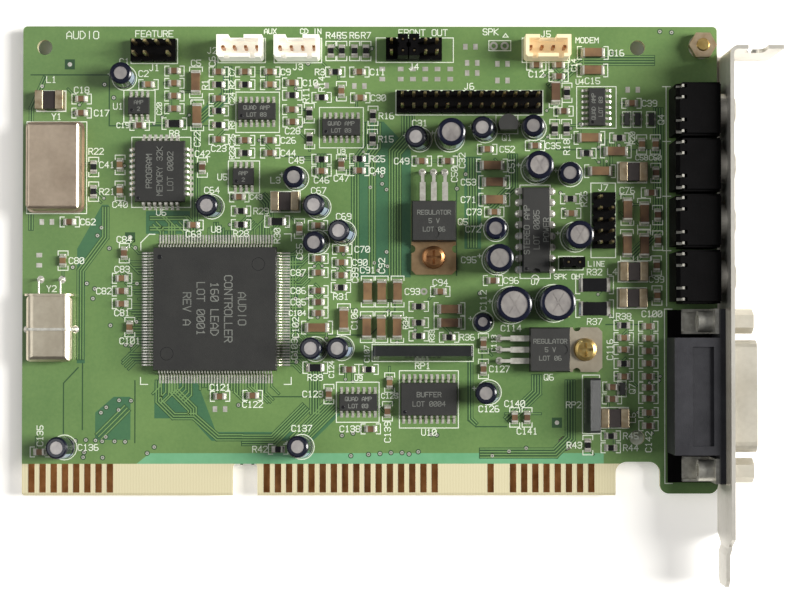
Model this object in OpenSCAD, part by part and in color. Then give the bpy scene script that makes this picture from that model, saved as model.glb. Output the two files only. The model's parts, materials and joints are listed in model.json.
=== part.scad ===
// A sound card for a desktop computer: a bare board with its finger contacts,
// a folded steel bracket with four audio jacks and a game port, and its chips.
// The card lies flat, component side up: +X to the bracket, +Y away from the fingers.

/* [Board] */
// Length of the board from its free end to the bracket end
board_l = 158; // [158:0.5:170]
// Depth of the board from the finger edge to the top edge
board_d = 106.68; // [106.68:0.02:120]
// Thickness of the board
board_t = 1.6; // [1.2:0.1:2]
// Radius of the board's top corners
corner_r = 1; // [0.5:0.1:3]
// Radius of the standoff holes
standoff_r = 1.7; // [1.2:0.1:1.9]
// Distance from the top edge to the two upper standoff holes
standoff_drop = 4.8; // [4.5:0.1:5.5]
// Spacing of the two upper standoff holes
standoff_span = 135; // [134.5:0.1:135.5]
// Length of the solder stubs under the board
stub_l = 2; // [1:0.1:2.2]
// Radius of the plated lead holes
lead_hole_r = 0.5; // [0.48:0.01:0.55]

/* [Finger edge] */
// Pitch of the finger contacts
finger_pitch = 2.54; // [2.5:0.01:2.58]
// Width of a finger contact
finger_w = 1.4; // [1:0.1:1.8]
// Length of a finger contact
finger_l = 6.5; // [5:0.1:6.5]
// Distance from the board's lower edge to a finger contact
finger_inset = 0.7; // [0.6:0.1:1]
// Thickness of the contact plating
plate_t = 0.05; // [0.04:0.01:0.1]
// Width of the left group of fingers, up to the key notch
left_tab_w = 47.8; // [47:0.1:48]
// Width of the key notch
key_w = 5.6; // [5:0.1:5.8]
// Width of the right group of fingers
right_tab_w = 81.3; // [81:0.1:81.4]
// Width of the notch beside the bracket
rear_notch_w = 10.1; // [9.5:0.1:10.4]
// Height of the two notches
notch_h = 7.6; // [7.2:0.1:8]
// Depth of the bevel along the finger edge
bevel_d = 0.6; // [0.3:0.1:0.7]

/* [Bracket] */
// Width of the bracket
bracket_w = 18.42; // [18.42:0.02:20]
// Thickness of the bracket's steel
bracket_t = 0.86; // [0.7:0.02:1]
// Gap between the board's edge and the bracket
bracket_gap = 0.5; // [0.3:0.1:0.8]
// Distance that the bracket reaches below the solder side
bracket_below = 2.4; // [2.4:0.1:3]
// Distance from the board's top edge down to the top of the tab
tab_drop = 6.3; // [6:0.1:7]
// Distance that the tab reaches out from the bracket's inner face
tab_reach = 11.9; // [10.5:0.1:13]
// Inner radius of the tab's fold
fold_r = 1; // [0.6:0.1:1.5]
// Width of the screw notch in the tab
slot_w = 4.42; // [3.6:0.02:4.6]
// Depth of the screw notch
slot_d = 6.5; // [5:0.1:8]
// Distance from the bracket's outer face to the middle of the screw notch
slot_out = 5.4; // [5:0.1:6]
// Distance from the finger edge down to the end of the tongue
tongue_drop = 19.6; // [18:0.1:21]
// Width of the tongue
tongue_w = 10.2; // [8:0.1:12]
// Sideways step of the tongue
joggle = 0.5; // [0:0.1:0.8]
// Radius of the screws that hold the bracket and the regulators
screw_r = 1.5; // [1.2:0.1:1.5]

/* [Audio jacks] */
// Pitch of the jacks
jack_pitch = 12.45; // [12.4:0.05:12.8]
// Centre of the lowest jack above the finger edge
jack_y = 49.4; // [49.4:0.1:49.8]
// Height of a jack's housing
jack_h = 11.4; // [10:0.1:12]
// Width of a jack's housing
jack_w = 11.9; // [11:0.1:12.2]
// Length of a jack's housing
jack_l = 9.9; // [9.5:0.1:10.2]
// Height of the jacks' axis above the board
jack_axis = 6.2; // [5.5:0.1:6.5]
// Radius of the plug's bore
jack_bore_r = 1.8; // [1.5:0.05:1.9]
// Radius of a bush's neck, which passes through the bracket
bush_r = 3; // [2.6:0.1:3.2]
// Radius of a bush's flange
bush_flange_r = 3.8; // [3.6:0.1:4.2]
// Distance that a bush stands out of the bracket
bush_out = 1.5; // [0.5:0.1:3]

/* [Game port] */
// Centre of the game port above the finger edge
port_y = 22.8; // [22.5:0.1:23]
// Height of the game port's axis above the board
port_axis = 6.4; // [6.4:0.1:7]
// Width of the port's flange
port_flange_w = 39.2; // [38.6:0.1:39.4]
// Height of the port's flange
port_flange_h = 12.5; // [11.5:0.1:12.6]
// Spacing of the jackscrews
port_screws = 33.32; // [33:0.02:33.6]
// Width of the D-shaped shell
shell_w = 25; // [24:0.1:25.5]
// Height of the D-shaped shell
shell_h = 8.4; // [8:0.1:8.8]
// Wall of the shell
shell_t = 0.5; // [0.4:0.05:0.6]
// Distance that the shell stands out of the bracket
shell_out = 5.6; // [4:0.1:7]

/* [Chips] */
// Side of the controller's body
controller_w = 28; // [27.5:0.1:28.4]
// Pitch of the controller's leads
controller_pitch = 0.65; // [0.62:0.01:0.67]
// Height of the controller's body
controller_h = 3.3; // [2.8:0.1:3.8]
// Height of a small flat package's body
small_ic_h = 1.5; // [1.2:0.1:1.8]
// Length of a chip capacitor or resistor
chip_l = 2; // [1.8:0.05:2.2]
// Width of a chip capacitor or resistor
chip_w = 1.25; // [1.1:0.05:1.4]
// Height of a chip capacitor
chip_cap_h = 1; // [0.8:0.05:1.2]
// Height of a chip resistor
chip_res_h = 0.55; // [0.4:0.05:0.7]

/* [Leaded parts] */
// Height of the small electrolytic capacitors
small_cap_h = 7; // [6:0.5:9]
// Height of the medium and large electrolytic capacitors
large_cap_h = 11.3; // [9:0.1:12]
// Thickness of a capacitor's sleeve
sleeve_t = 0.15; // [0.1:0.01:0.2]
// Side of a square header pin
pin_w = 0.64; // [0.5:0.02:0.66]
// Height of the header pins above the board
pin_h = 8.5; // [7:0.1:10]
// Height of the audio connectors' housings
audio_h = 7.6; // [7:0.1:9]
// Wall of the audio connectors' housings
audio_wall = 0.8; // [0.6:0.1:1]
// Height of the oscillator's can
oscillator_h = 5.2; // [4.5:0.1:6]
// Thickness of the flat crystal's can
crystal_h = 3.8; // [3.4:0.1:4.2]

/* [Hidden] */
$fn = 32;
EPS = 0.01;

// The board's frame has x from its free end, y from the finger edge, z from the component face
z_solder = -board_t;
z_stub = z_solder - stub_l;
bracket_x = board_l + bracket_gap;
bracket_out = bracket_x + bracket_t;
tab_end = bracket_x + tab_reach;
tab_top = board_d - tab_drop;
bracket_low = z_solder - bracket_below;
bracket_high = bracket_low + bracket_w;
bracket_mid = (bracket_low + bracket_high) / 2;
// The whole card is shifted so that its origin lies under the middle of its outline, on the ground
shift = [-tab_end / 2, -(board_d - tongue_drop) / 2, -bracket_low];

// Board
key_x = left_tab_w;
right_tab_x = key_x + key_w;
rear_notch_x = right_tab_x + right_tab_w;
last_tab_x = rear_notch_x + rear_notch_w;
tab_corner = 2;
standoff_y = board_d - standoff_drop;
standoff_x = 4.9;
lower_standoffs = [[123.3, 11.8], [139.6, 13.1]];
bracket_screw = [board_l - 3.6, board_d - 4.5];
screw_hole_r = screw_r + 0.1;

// Fingers: places along the left and right groups, counted from the left
left_first = 2.2;
right_first = 55.54;
left_front = [for (i = [0:7]) i];
right_front = [for (i = [0:29]) if (i < 16 || i == 20 || i > 21) i];
left_back = [0, 2, 3, 4, 5, 6, 7, 8, 9, 10, 12, 14, 15, 16];
right_back = [0, 2, 4, 6, 8, 10, 11, 13, 14, 15, 16, 17, 18, 21, 22, 24, 27, 28, 29, 30];

// Jacks, from the lowest to the uppermost, with their housings against the bushes' flanges
jack_front = board_l - 1.1;
jack_back = jack_front - jack_l;
bush_lip = 0.25;
contact_slot_w = 0.8;
contact_slot_floor = jack_axis + jack_bore_r + 0.7;
contact_offsets = [-5.05, -2.55, 2.5, 5];
jack_pin_places = [[1.4, -3.9], [1.4, 3.9], [7.6, -3.9], [7.6, 3.9]];
function jack_centre(i) = jack_y + i * jack_pitch;

// Game port
port_z_low = port_axis - port_flange_h / 2;
port_flange_t = 0.8;
port_flange_x = bracket_x - port_flange_t;
port_body_w = 26;
port_body_h = port_axis + port_flange_h / 2 - 0.6;
port_back = board_l - 10;
shell_x = bracket_out + shell_out;
shell_slope = 10;
port_pin_pitch = 2.77;
port_pin_row = 2.84;
port_bore_r = 0.6;
lock_plate_t = 0.8;
lock_w = 5.6;
lock_back = board_l - 8.4;
lock_boss_r = 2.4;
jackscrew_af = 4.8;
jackscrew_l = 5.2;
jackscrew_stud_r = 1.4;
jackscrew_thread_r = 1.2;

// Flat packages: [x, y, turn], with the turn about z
small_ics = [[26.45, 88.45, 0], [50.2, 72.35, 0]];
logic_ics = [[53.2, 87.2, 0], [72.4, 83.6, 0], [76.3, 21.15, 0], [130.5, 88.25, 90]];
wide_ic = [92.3, 21.9, 0];
controller = [43.95, 42.3];
memory_chip = [31.45, 73.4];
amplifier = [116.5, 60.15];
ic_stand = 0.12;
small_ic_w = 3.9;
small_ic_reach = 3;
small_ic_pitch = 1.27;
wide_ic_w = 7.5;
wide_ic_l = 12.8;
wide_ic_h = 2.35;
wide_ic_reach = 5.15;
lead_t = 0.2;
controller_reach = controller_w / 2 + 1.65;
memory_w = 11.43;
memory_l = 13.97;
memory_h = 2.8;
memory_stand = 0.5;
amplifier_row = 7.62;
amplifier_w = 6.35;
amplifier_l = 19.4;
amplifier_h = 3.4;
amplifier_stand = 0.5;
dip_pitch = 2.54;

// Voltage regulators lying flat: [x, y] of the tab's screw, with the leads towards +Y at 0 degrees
regulators = [[93.4, 54, 0], [127.7, 33.1, 90]];
reg_w = 10.1;
reg_tab_t = 1.3;
reg_case_t = 4.4;
reg_case_from = 3.5;
reg_case_l = 9.3;
reg_tab_back = 3.9;
reg_hole_run = 19.4;
reg_lead_pitch = 2.54;

// Electrolytic capacitors: [x, y, radius, height, lean, direction of the lean]
capacitors = [
    [23, 94.9, 2.5, small_cap_h, 2, 60], [43, 65.6, 2.5, small_cap_h, 5, 195],
    [62.2, 72, 2.5, small_cap_h, 3, 210], [67.3, 65.5, 2.5, small_cap_h, 8, 175],
    [67, 57.5, 2.5, small_cap_h, 6, 210], [73, 59.6, 2.5, small_cap_h, 9, 170],
    [66.6, 33.2, 2.5, small_cap_h, 8, 165], [72.6, 33.4, 2.5, small_cap_h, 8, 177],
    [90.3, 80.9, 2.5, small_cap_h, 9, 182], [105.2, 83, 2.5, small_cap_h, 9, 183],
    [116.3, 83.5, 2.5, small_cap_h, 6, 192], [124.6, 73, 2.5, small_cap_h, 7, 197],
    [107.6, 60.5, 2.5, small_cap_h, 4, 200], [104.7, 39.3, 2.1, small_cap_h, 4, 175],
    [106, 23.4, 2.5, small_cap_h, 9, 180], [9.7, 10.9, 2.5, small_cap_h, 6, 155],
    [63.5, 11, 2.5, small_cap_h, 7, 145],
    [97.1, 81.5, 3.15, large_cap_h, 0, 0], [116.7, 74.2, 3.15, large_cap_h, 0, 0],
    [125.6, 58.7, 3.15, large_cap_h, 0, 0], [107.8, 53.5, 3.15, large_cap_h, 0, 0],
    [111, 43.2, 4, large_cap_h, 0, 0], [120.7, 43.6, 4, large_cap_h, 0, 0]
];
cap_stand = 0.1;
cap_lead_r = 0.28;
cap_bung_h = 0.8;
function cap_lead_gap(c) = c[2] > 3.5 ? 1.75 : (c[2] > 3 ? 1.25 : 1);

// Oscillator and crystal
oscillator = [7.6, 74.5];
oscillator_w = 13;
oscillator_l = 20.7;
oscillator_base_z = 0.3;
oscillator_base_t = 0.5;
oscillator_pin_r = 0.24;
oscillator_pin_gap = [7.62, 15.24];
crystal = [6.6, 45.2];
crystal_w = 10.4;
crystal_l = 14.8;
crystal_flange_t = 0.5;
crystal_flange_out = 0.4;
crystal_z = 0.55;
crystal_lead_gap = 4.88;
crystal_lead_run = 3.3;
crystal_lead_r = 0.22;
strap_y = 37.7;
strap_t = 0.5;

// Connectors on the top edge: [x, y] of the centre
audio_l = 10.2;
audio_w = 5;
audio_floor = 1.6;
audio_pitch = 2.54;
cd_audio = [49.7, 101.2];
aux = [62.5, 101.2];
modem = [119, 101.3];

// Pin headers: [x, y, columns, rows, turned, empty place or -1]
header_pitch = 2.54;
header_h = 2.5;
header_notch = 0.35;
headers = [
    [29.8, 101, 4, 2, 0, 2], [88.9, 101.3, 5, 2, 0, -1], [101.5, 89.3, 13, 2, 0, -1],
    [132, 62.4, 5, 2, 90, 0], [124.6, 52.7, 2, 1, 0, -1]
];
jumper_w = 2.3;
jumper_h = 6;
// Jumper caps: [x, y, turn] of the middle of the two pins that each one joins
jumpers = [[86.36, 101.3, 90], [88.9, 101.3, 90], [124.6, 52.7, 0]];

// Resistor networks: [x, y, pins, turn, lean]
networks = [[90.9, 31.8, 9, 0, 12], [128.6, 20.55, 5, 90, 12]];
network_t = 2.4;
network_h = 5;
network_stand = 0.5;

// Wound chip inductors: [x, y]
inductors = [[6.4, 89.6], [59.7, 66.7], [138.6, 73.4], [138.7, 50.8], [138.5, 44.8], [134.3, 17.6]];
inductor_l = 6.4;
inductor_w = 4.3;
inductor_h = 3.2;
inductor_core_l = 2.7;

// Chip capacitors that lie along x: [x, y]
caps_along_x = [
    [13.3, 90.1], [13.3, 86.9], [28.5, 93.4], [34.4, 96.5], [34.4, 93.7], [34.4, 90.8], [34.4, 87.9],
    [26.5, 84.1], [10.7, 62.1], [22.6, 49.3], [22.6, 46.4], [22.6, 43.5], [4.1, 9.9], [44.5, 96.3],
    [44.5, 90.2], [44.5, 80.9], [50.5, 96.3], [56.2, 96.3], [56.2, 93.4], [50.5, 80.7], [56.2, 80.7],
    [56.2, 77.8], [61.2, 93.8], [61.2, 87.7], [61.3, 84.9], [76.5, 96.3], [76.7, 90.4], [67.9, 73.7],
    [76.5, 73.8], [49.2, 67.8], [38.8, 61.4], [67.1, 61.3], [67.2, 53.8], [67.2, 50.6], [67.2, 46.5],
    [67.2, 43.9], [67.2, 41.4], [72.6, 55.9], [72.5, 52.9], [72.4, 50], [94.9, 46.3], [74.2, 28.6],
    [106.9, 48.8], [90.7, 76], [96.6, 76], [105.6, 78.7], [107.2, 64.4], [116.8, 97.9], [121.9, 97.9],
    [121.9, 95.3], [123, 87.4], [138.5, 89.2], [116.5, 79.5], [124.7, 64.1], [142.9, 68.8],
    [136.6, 35.8], [136.6, 33.1], [136.6, 27], [134, 24.6], [133.9, 21.9], [44.9, 22.5], [52.3, 22.7],
    [79.1, 15.1],
    for (y = [38.4, 35.7, 32.8, 30, 27, 24.5, 22, 18.8, 15.8]) [142.2, y]
];
// Chip capacitors that lie along y
caps_along_y = [
    [22.1, 75.1], [22.1, 69.2], [23.1, 55], [9.2, 53.3], [24.4, 38.2], [72.4, 91.9], [72.4, 75.2],
    [40.8, 74.5], [62.9, 60.6], [83.4, 25.6], [82.9, 19.1], [104.7, 34.5], [104.7, 28.7], [69.6, 23],
    [111.8, 17.7], [114.6, 17.7], [144.4, 63.7], [144.4, 57.9], [144, 73.3],
    [140.8, 79.8], [143.9, 79.8], [144.1, 52.2], [144.2, 45.4]
];
// Large chip capacitors, along x and along y
large_caps_along_x = [
    [129.7, 100.7], [129.6, 96.7], [128.9, 81.3], [134.9, 78.2], [131.3, 73.7], [106.7, 75],
    [107.2, 71.2], [107.2, 67.2], [97, 42.3], [97, 39.2], [66.9, 38.1]
];
large_caps_along_y = [
    [39.3, 93.9], [39.6, 86.4], [73, 40], [78.4, 46.3], [81.6, 46.3], [85.2, 46.3], [78.2, 38.2],
    [81.5, 38.2], [85.1, 38.2], [121.2, 91.7], [137.5, 64.9], [137.4, 56.9], [141.3, 64], [141.3, 56.8]
];
large_cap_l = 4.6;
large_cap_w = 1.9;
large_cap_chip_h = 1.4;
// Chip resistors, along x and along y
resistors_along_x = [
    [44.5, 93.4], [44.5, 87.4], [44.5, 84.2], [50.5, 93.4], [50.5, 77.8], [61.2, 91], [67.9, 90.5],
    [71, 96.3], [67.9, 76.4], [76.5, 76.5], [49.6, 64.6], [49.6, 61.5], [72.3, 47.2], [90, 42.9],
    [90, 39.2], [90, 36.2], [96.9, 35.9], [78.6, 28.6], [128.2, 77.8], [135.7, 81.3], [124.5, 67.4],
    [136.6, 38.6], [136.6, 29.9], [133.6, 13.5], [133.6, 10.8], [58.1, 10.5]
];
resistors_along_y = [
    [16.1, 74.6], [16.1, 69], [65.1, 86.9], [65.2, 81], [79.6, 86.3], [79.5, 81], [70, 101.1],
    [72.5, 101.1], [75.4, 101.1], [78, 101.1], [123.8, 91.6], [121, 83.3], [123.7, 83.3], [128.4, 11.4]
];
// Larger chip resistors along x: [x, y, length, width]
large_resistors = [
    [130, 47.8, 6.2, 3], [130, 42.4, 6.2, 3], [57.8, 62.2, 3.2, 1.6], [34.4, 84.5, 3.2, 1.6],
    [66.5, 29, 3.2, 1.6]
];
chip_end = 0.35;
chip_end_growth = 0.04;

// Three-legged transistors: [x, y], and the one in a half-round case
transistors = [[137.4, 85.5], [139.8, 85.5], [142.9, 85.5], [136.2, 24.2]];
transistor_l = 2.9;
transistor_w = 1.3;
transistor_h = 1;
transistor_reach = 1.2;
leaded_transistor = [110.1, 83.9];
leaded_r = 2.2;
leaded_flat = 1.3;
leaded_h = 4.6;
leaded_stand = 1.6;
leaded_pitch = 1.27;
leaded_wire_r = 0.22;

module place() {
    translate(shift) children();
}

// A moulded case: its sides lean in above and below the parting line, where it is widest
module moulded(l, w, h, split, draft) {
    intersection() {
        rotate([90, 0, 0])
            translate([0, 0, -w / 2])
                linear_extrude(w)
                    polygon(mould_section(l, h, split, draft));
        rotate([90, 0, 90])
            translate([0, 0, -l / 2])
                linear_extrude(l)
                    polygon(mould_section(w, h, split, draft));
    }
}
function mould_section(w, h, split, draft) = [
    [-w / 2 + draft, 0], [w / 2 - draft, 0], [w / 2, split],
    [w / 2 - draft, h], [-w / 2 + draft, h], [-w / 2, split]
];

// A gull-wing lead: out of the case at x = 0, down, and flat on its pad at x = reach
module gull_lead(reach, rise, foot, w, t) {
    knee = reach - foot;
    shoulder = knee * 0.35;
    rotate([90, 0, 0])
        translate([0, 0, -w / 2])
            linear_extrude(w)
                polygon([
                    [0, rise], [shoulder, rise], [knee - t * 0.4, 0], [reach, 0],
                    [reach, t], [knee + t * 0.4, t], [shoulder + t * 0.8, rise + t], [0, rise + t]
                ]);
}

// Gull-wing leads along both long sides of a flat package
module lead_rows(count, pitch, case_w, reach, rise, foot, w, t) {
    for (side = [0, 180], i = [0:count - 1])
        rotate([0, 0, side])
            translate([(i - (count - 1) / 2) * pitch, case_w / 2, 0])
                rotate([0, 0, 90])
                    gull_lead(reach - case_w / 2, rise, foot, w, t);
}

// Round lead holes and square pins, both through the board
module lead_hole(r) {
    translate([0, 0, z_solder - EPS]) cylinder(r = r, h = board_t + 2 * EPS);
}
module square_pin(w, top) {
    translate([-w / 2, -w / 2, z_stub]) cube([w, w, top - z_stub]);
}

// A square pin whose two ends are drawn to blunt points
module pointed_pin(w, top) {
    tip = 0.5;
    flat = w * 0.25;
    intersection() {
        for_both_sides(w, tip, flat, top, 0);
        for_both_sides(w, tip, flat, top, 90);
    }
}
module for_both_sides(w, tip, flat, top, turn) {
    rotate([90, 0, turn])
        translate([0, 0, -w])
            linear_extrude(2 * w)
                polygon([
                    [-flat, z_stub], [flat, z_stub], [w / 2, z_stub + tip], [w / 2, top - tip],
                    [flat, top], [-flat, top], [-w / 2, top - tip], [-w / 2, z_stub + tip]
                ]);
}

// Board
module board_outline() {
    difference() {
        square([board_l, board_d]);
        translate([key_x, -1]) square([key_w, notch_h + 1 - key_w / 4]);
        translate([key_x + key_w / 4, notch_h - key_w / 4]) notch_top(key_w, key_w / 4);
        translate([rear_notch_x, -1]) square([rear_notch_w, notch_h + 1 - rear_notch_w / 4]);
        translate([rear_notch_x + rear_notch_w / 4, notch_h - rear_notch_w / 4])
            notch_top(rear_notch_w, rear_notch_w / 4);
        translate([last_tab_x - 1, -1]) square([board_l, 1.4]);
        for (x = [0, board_l])
            translate([x, board_d]) corner_cut(corner_r, x == 0 ? 1 : -1, -1);
        translate([0, 0]) corner_cut(bevel_d, 1, 1);
        translate([last_tab_x, 0.4]) corner_cut(tab_corner, 1, 1);
        translate([board_l, 0.4]) corner_cut(tab_corner, -1, 1);
    }
}
// The rounded top of a notch: two quarter discs joined by a flat
module notch_top(w, r) {
    inner_w = w - 2 * r;
    circle(r);
    translate([inner_w, 0]) circle(r);
    translate([0, -r]) square([inner_w, 2 * r]);
}
// What a round corner leaves outside it, at the origin, towards +x and +y
module corner_cut(r, sx, sy) {
    scale_x = sx < 0 ? [1, 0] : [0, 0];
    scale_y = sy < 0 ? [0, 1] : [0, 0];
    mirror(scale_y) mirror(scale_x)
        difference() {
            translate([-EPS, -EPS]) square(r + EPS);
            translate([r, r]) circle(r);
        }
}

module board() {
    color("forestgreen") place() difference() {
        translate([0, 0, z_solder]) linear_extrude(board_t) board_outline();
        // Bevels along the finger edge
        for (face = [0, 1])
            translate([-1, 0, face == 0 ? 0 : z_solder])
                mirror([0, 0, face])
                    rotate([90, 0, 90])
                        linear_extrude(rear_notch_x + 1)
                            polygon([[-EPS, -bevel_d * 0.7], [bevel_d, 0], [bevel_d, 1], [-EPS, 1]]);
        for (p = [[standoff_x, standoff_y], [standoff_x + standoff_span, standoff_y], each lower_standoffs])
            translate(p) lead_hole(standoff_r);
        translate(bracket_screw) lead_hole(screw_hole_r);
        all_lead_holes();
    }
}

// Every plated hole, at the same places as the leads that pass through it
module all_lead_holes() {
    for (i = [0:3], p = jack_pin_places)
        translate([jack_back + p[0], jack_centre(i) + p[1]]) lead_hole(lead_hole_r);
    for (p = port_pins())
        translate(p) lead_hole(lead_hole_r);
    for (p = lock_legs())
        translate(p) lead_hole(lead_hole_r);
    for (p = amplifier_pin_places())
        translate(p) lead_hole(lead_hole_r);
    for (reg = regulators)
        translate([reg[0], reg[1]]) rotate([0, 0, reg[2]]) {
            lead_hole(screw_hole_r);
            for (i = [-1:1])
                translate([i * reg_lead_pitch, reg_hole_run]) lead_hole(lead_hole_r);
        }
    for (c = capacitors, side = [-1, 1])
        translate([c[0] + side * cap_lead_gap(c), c[1]]) lead_hole(lead_hole_r);
    for (p = oscillator_pin_places())
        translate(p) lead_hole(lead_hole_r);
    for (p = crystal_lead_places())
        translate(p) lead_hole(lead_hole_r);
    for (p = strap_places())
        translate(p) lead_hole(lead_hole_r);
    for (c = [cd_audio, aux, modem], i = [0:3])
        translate([c[0] + (i - 1.5) * audio_pitch, c[1]]) lead_hole(lead_hole_r);
    for (h = headers, p = header_places(h))
        translate(p) lead_hole(lead_hole_r);
    for (n = networks, p = network_places(n))
        translate(p) lead_hole(lead_hole_r);
    for (i = [-1:1])
        translate(leaded_transistor + [i * leaded_pitch, 0]) lead_hole(lead_hole_r);
}

module finger(i, first, z) {
    translate([first + i * finger_pitch - finger_w / 2, finger_inset, z])
        cube([finger_w, finger_l, plate_t]);
}
module contacts_front() {
    color("gold") place() {
        for (i = left_front) finger(i, left_first, 0);
        for (i = right_front) finger(i, right_first, 0);
    }
}
module contacts_back() {
    color("gold") place() {
        for (i = left_back) finger(i, left_first, z_solder - plate_t);
        for (i = right_back) finger(i, right_first, z_solder - plate_t);
    }
}

// Bracket: one folded strip, cut out, joggled at its tongue and drilled for what passes through
module bracket_strip() {
    fold_out = fold_r + bracket_t;
    step_y = -11;
    union() {
        translate([bracket_x, step_y]) square([bracket_t, tab_top - fold_out - step_y]);
        translate([bracket_x + fold_out, tab_top - fold_out]) intersection() {
            difference() {
                circle(fold_out);
                circle(fold_r);
            }
            translate([-fold_out - 1, 0]) square(fold_out + 1);
        }
        translate([bracket_x + fold_out, tab_top - bracket_t])
            square([tab_end - bracket_x - fold_out, bracket_t]);
        polygon([
            [bracket_x, step_y], [bracket_out, step_y],
            [bracket_out - joggle, step_y - 1.5], [bracket_out - joggle, -tongue_drop],
            [bracket_x - joggle, -tongue_drop], [bracket_x - joggle, step_y - 1.5]
        ]);
    }
}
// Outline of the strip from its face, as [y, z]
module bracket_face() {
    half = tongue_w / 2;
    polygon([
        [-tongue_drop, bracket_mid - half + 1.5], [-tongue_drop, bracket_mid + half - 1.5],
        [-tongue_drop + 1.5, bracket_mid + half], [-10.5, bracket_mid + half],
        [-8.6, bracket_high], [tab_top + 1, bracket_high], [tab_top + 1, bracket_low],
        [-8.6, bracket_low], [-10.5, bracket_mid - half], [-tongue_drop + 1.5, bracket_mid - half]
    ]);
}
module bracket() {
    ear_t = bracket_t;
    color("silver") place() difference() {
        union() {
            intersection() {
                translate([0, 0, bracket_low]) linear_extrude(bracket_w) bracket_strip();
                translate([bracket_x - 2, 0, 0])
                    rotate([90, 0, 90])
                        linear_extrude(tab_reach + 4)
                            bracket_face();
            }
            // Ear under the board, which the bracket's screw passes through
            translate([0, 0, z_solder - ear_t]) linear_extrude(ear_t) {
                translate(bracket_screw) circle(3.8);
                polygon([
                    [bracket_screw[0] - 3.8, bracket_screw[1]], [bracket_screw[0] - 3.8, tab_top - 6],
                    [bracket_x + EPS, tab_top - 6], [bracket_x + EPS, tab_top - 2.2],
                    [bracket_screw[0] + 3.8, bracket_screw[1]]
                ]);
            }
        }
        translate([bracket_screw[0], bracket_screw[1], bracket_low]) cylinder(r = screw_hole_r, h = bracket_w);
        // Notch in the tab, open on the component side
        translate([bracket_out + slot_out, tab_top + 1, bracket_high - slot_d + slot_w / 2])
            rotate([90, 0, 0]) cylinder(r = slot_w / 2, h = 3);
        translate([bracket_out + slot_out - slot_w / 2, tab_top - 2, bracket_high - slot_d + slot_w / 2])
            cube([slot_w, 3, slot_d]);
        for (i = [0:3])
            along_x(bracket_x - 1, jack_centre(i), jack_axis) cylinder(r = bush_r + 0.1, h = 3);
        for (side = [-1, 1])
            along_x(bracket_x - 1, port_y + side * port_screws / 2, port_axis)
                cylinder(r = jackscrew_stud_r + 0.2, h = 3);
        along_x(bracket_x - 1, port_y, port_axis) linear_extrude(3) d_outline(0.3);
    }
}
// Puts what is drawn along z along x instead, with its x along y
module along_x(x, y, z) {
    translate([x, y, z]) rotate([90, 0, 90]) children();
}

// The port's D, wide side up, grown by a margin; each corner is an arc
function corner_arc(c, r, from, to, n) =
    [for (i = [0:n]) c + r * [cos(from + (to - from) * i / n), sin(from + (to - from) * i / n)]];
module d_outline(grow) {
    r = 2.4 + grow;
    cy = shell_h / 2 + grow - r;
    top = shell_w / 2 + grow - r;
    bottom = top - 2 * cy * tan(shell_slope);
    polygon(concat(
        corner_arc([top, cy], r, -shell_slope, 90, 5),
        corner_arc([-top, cy], r, 90, 180 + shell_slope, 5),
        corner_arc([-bottom, -cy], r, 180 + shell_slope, 270, 4),
        corner_arc([bottom, -cy], r, 270, 360 - shell_slope, 4)
    ));
}

// Screws with a domed, cross-recessed head above z = 0 and a shank below it
module pan_screw(head_r, head_h, shank) {
    dome = head_h * 0.35;
    difference() {
        rotate_extrude()
            polygon([
                [0, -shank], [screw_r - 0.3, -shank], [screw_r, -shank + 0.3], [screw_r, 0], [head_r, 0],
                [head_r, head_h - 2 * dome], [head_r - dome * 0.4, head_h - dome * 0.7],
                [head_r - dome * 1.6, head_h - dome * 0.15], [0, head_h]
            ]);
        for (turn = [0, 90])
            rotate([0, 0, turn])
                translate([-head_r * 0.6, -0.3, head_h * 0.35]) cube([head_r * 1.2, 0.6, head_h]);
    }
}
reg_screw_head = 1.5;
bracket_screw_head = bracket_below - bracket_t - 0.15;
washer_t = 0.6;
nut_t = 2.4;
thin_nut_t = 1.8;
nut_af = 5.5;
module hex_nut(t) {
    difference() {
        cylinder(r = nut_af / 2 / cos(30), h = t, $fn = 6);
        translate([0, 0, -1]) cylinder(r = screw_r, h = t + 2);
    }
}
module mounting_screws() {
    color("goldenrod") place() {
        translate([bracket_screw[0], bracket_screw[1], z_solder - bracket_t]) mirror([0, 0, 1])
            pan_screw(2.7, bracket_screw_head, bracket_t + board_t + washer_t + nut_t + 0.3);
        for (reg = regulators)
            translate([reg[0], reg[1], reg_tab_t])
                pan_screw(2.6, reg_screw_head, reg_tab_t + board_t + thin_nut_t + 0.2);
    }
}
module lock_washer() {
    color("silver") place() translate(bracket_screw) difference() {
        cylinder(r = 2.9, h = washer_t);
        translate([0, 0, -1]) cylinder(r = screw_r + 0.1, h = 3);
        translate([0, -0.25, -1]) cube([4, 0.5, 3]);
    }
}
module mounting_nuts() {
    color("goldenrod") place() {
        translate([bracket_screw[0], bracket_screw[1], washer_t]) hex_nut(nut_t);
        for (reg = regulators)
            translate([reg[0], reg[1], z_solder - thin_nut_t]) hex_nut(thin_nut_t);
    }
}

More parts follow.
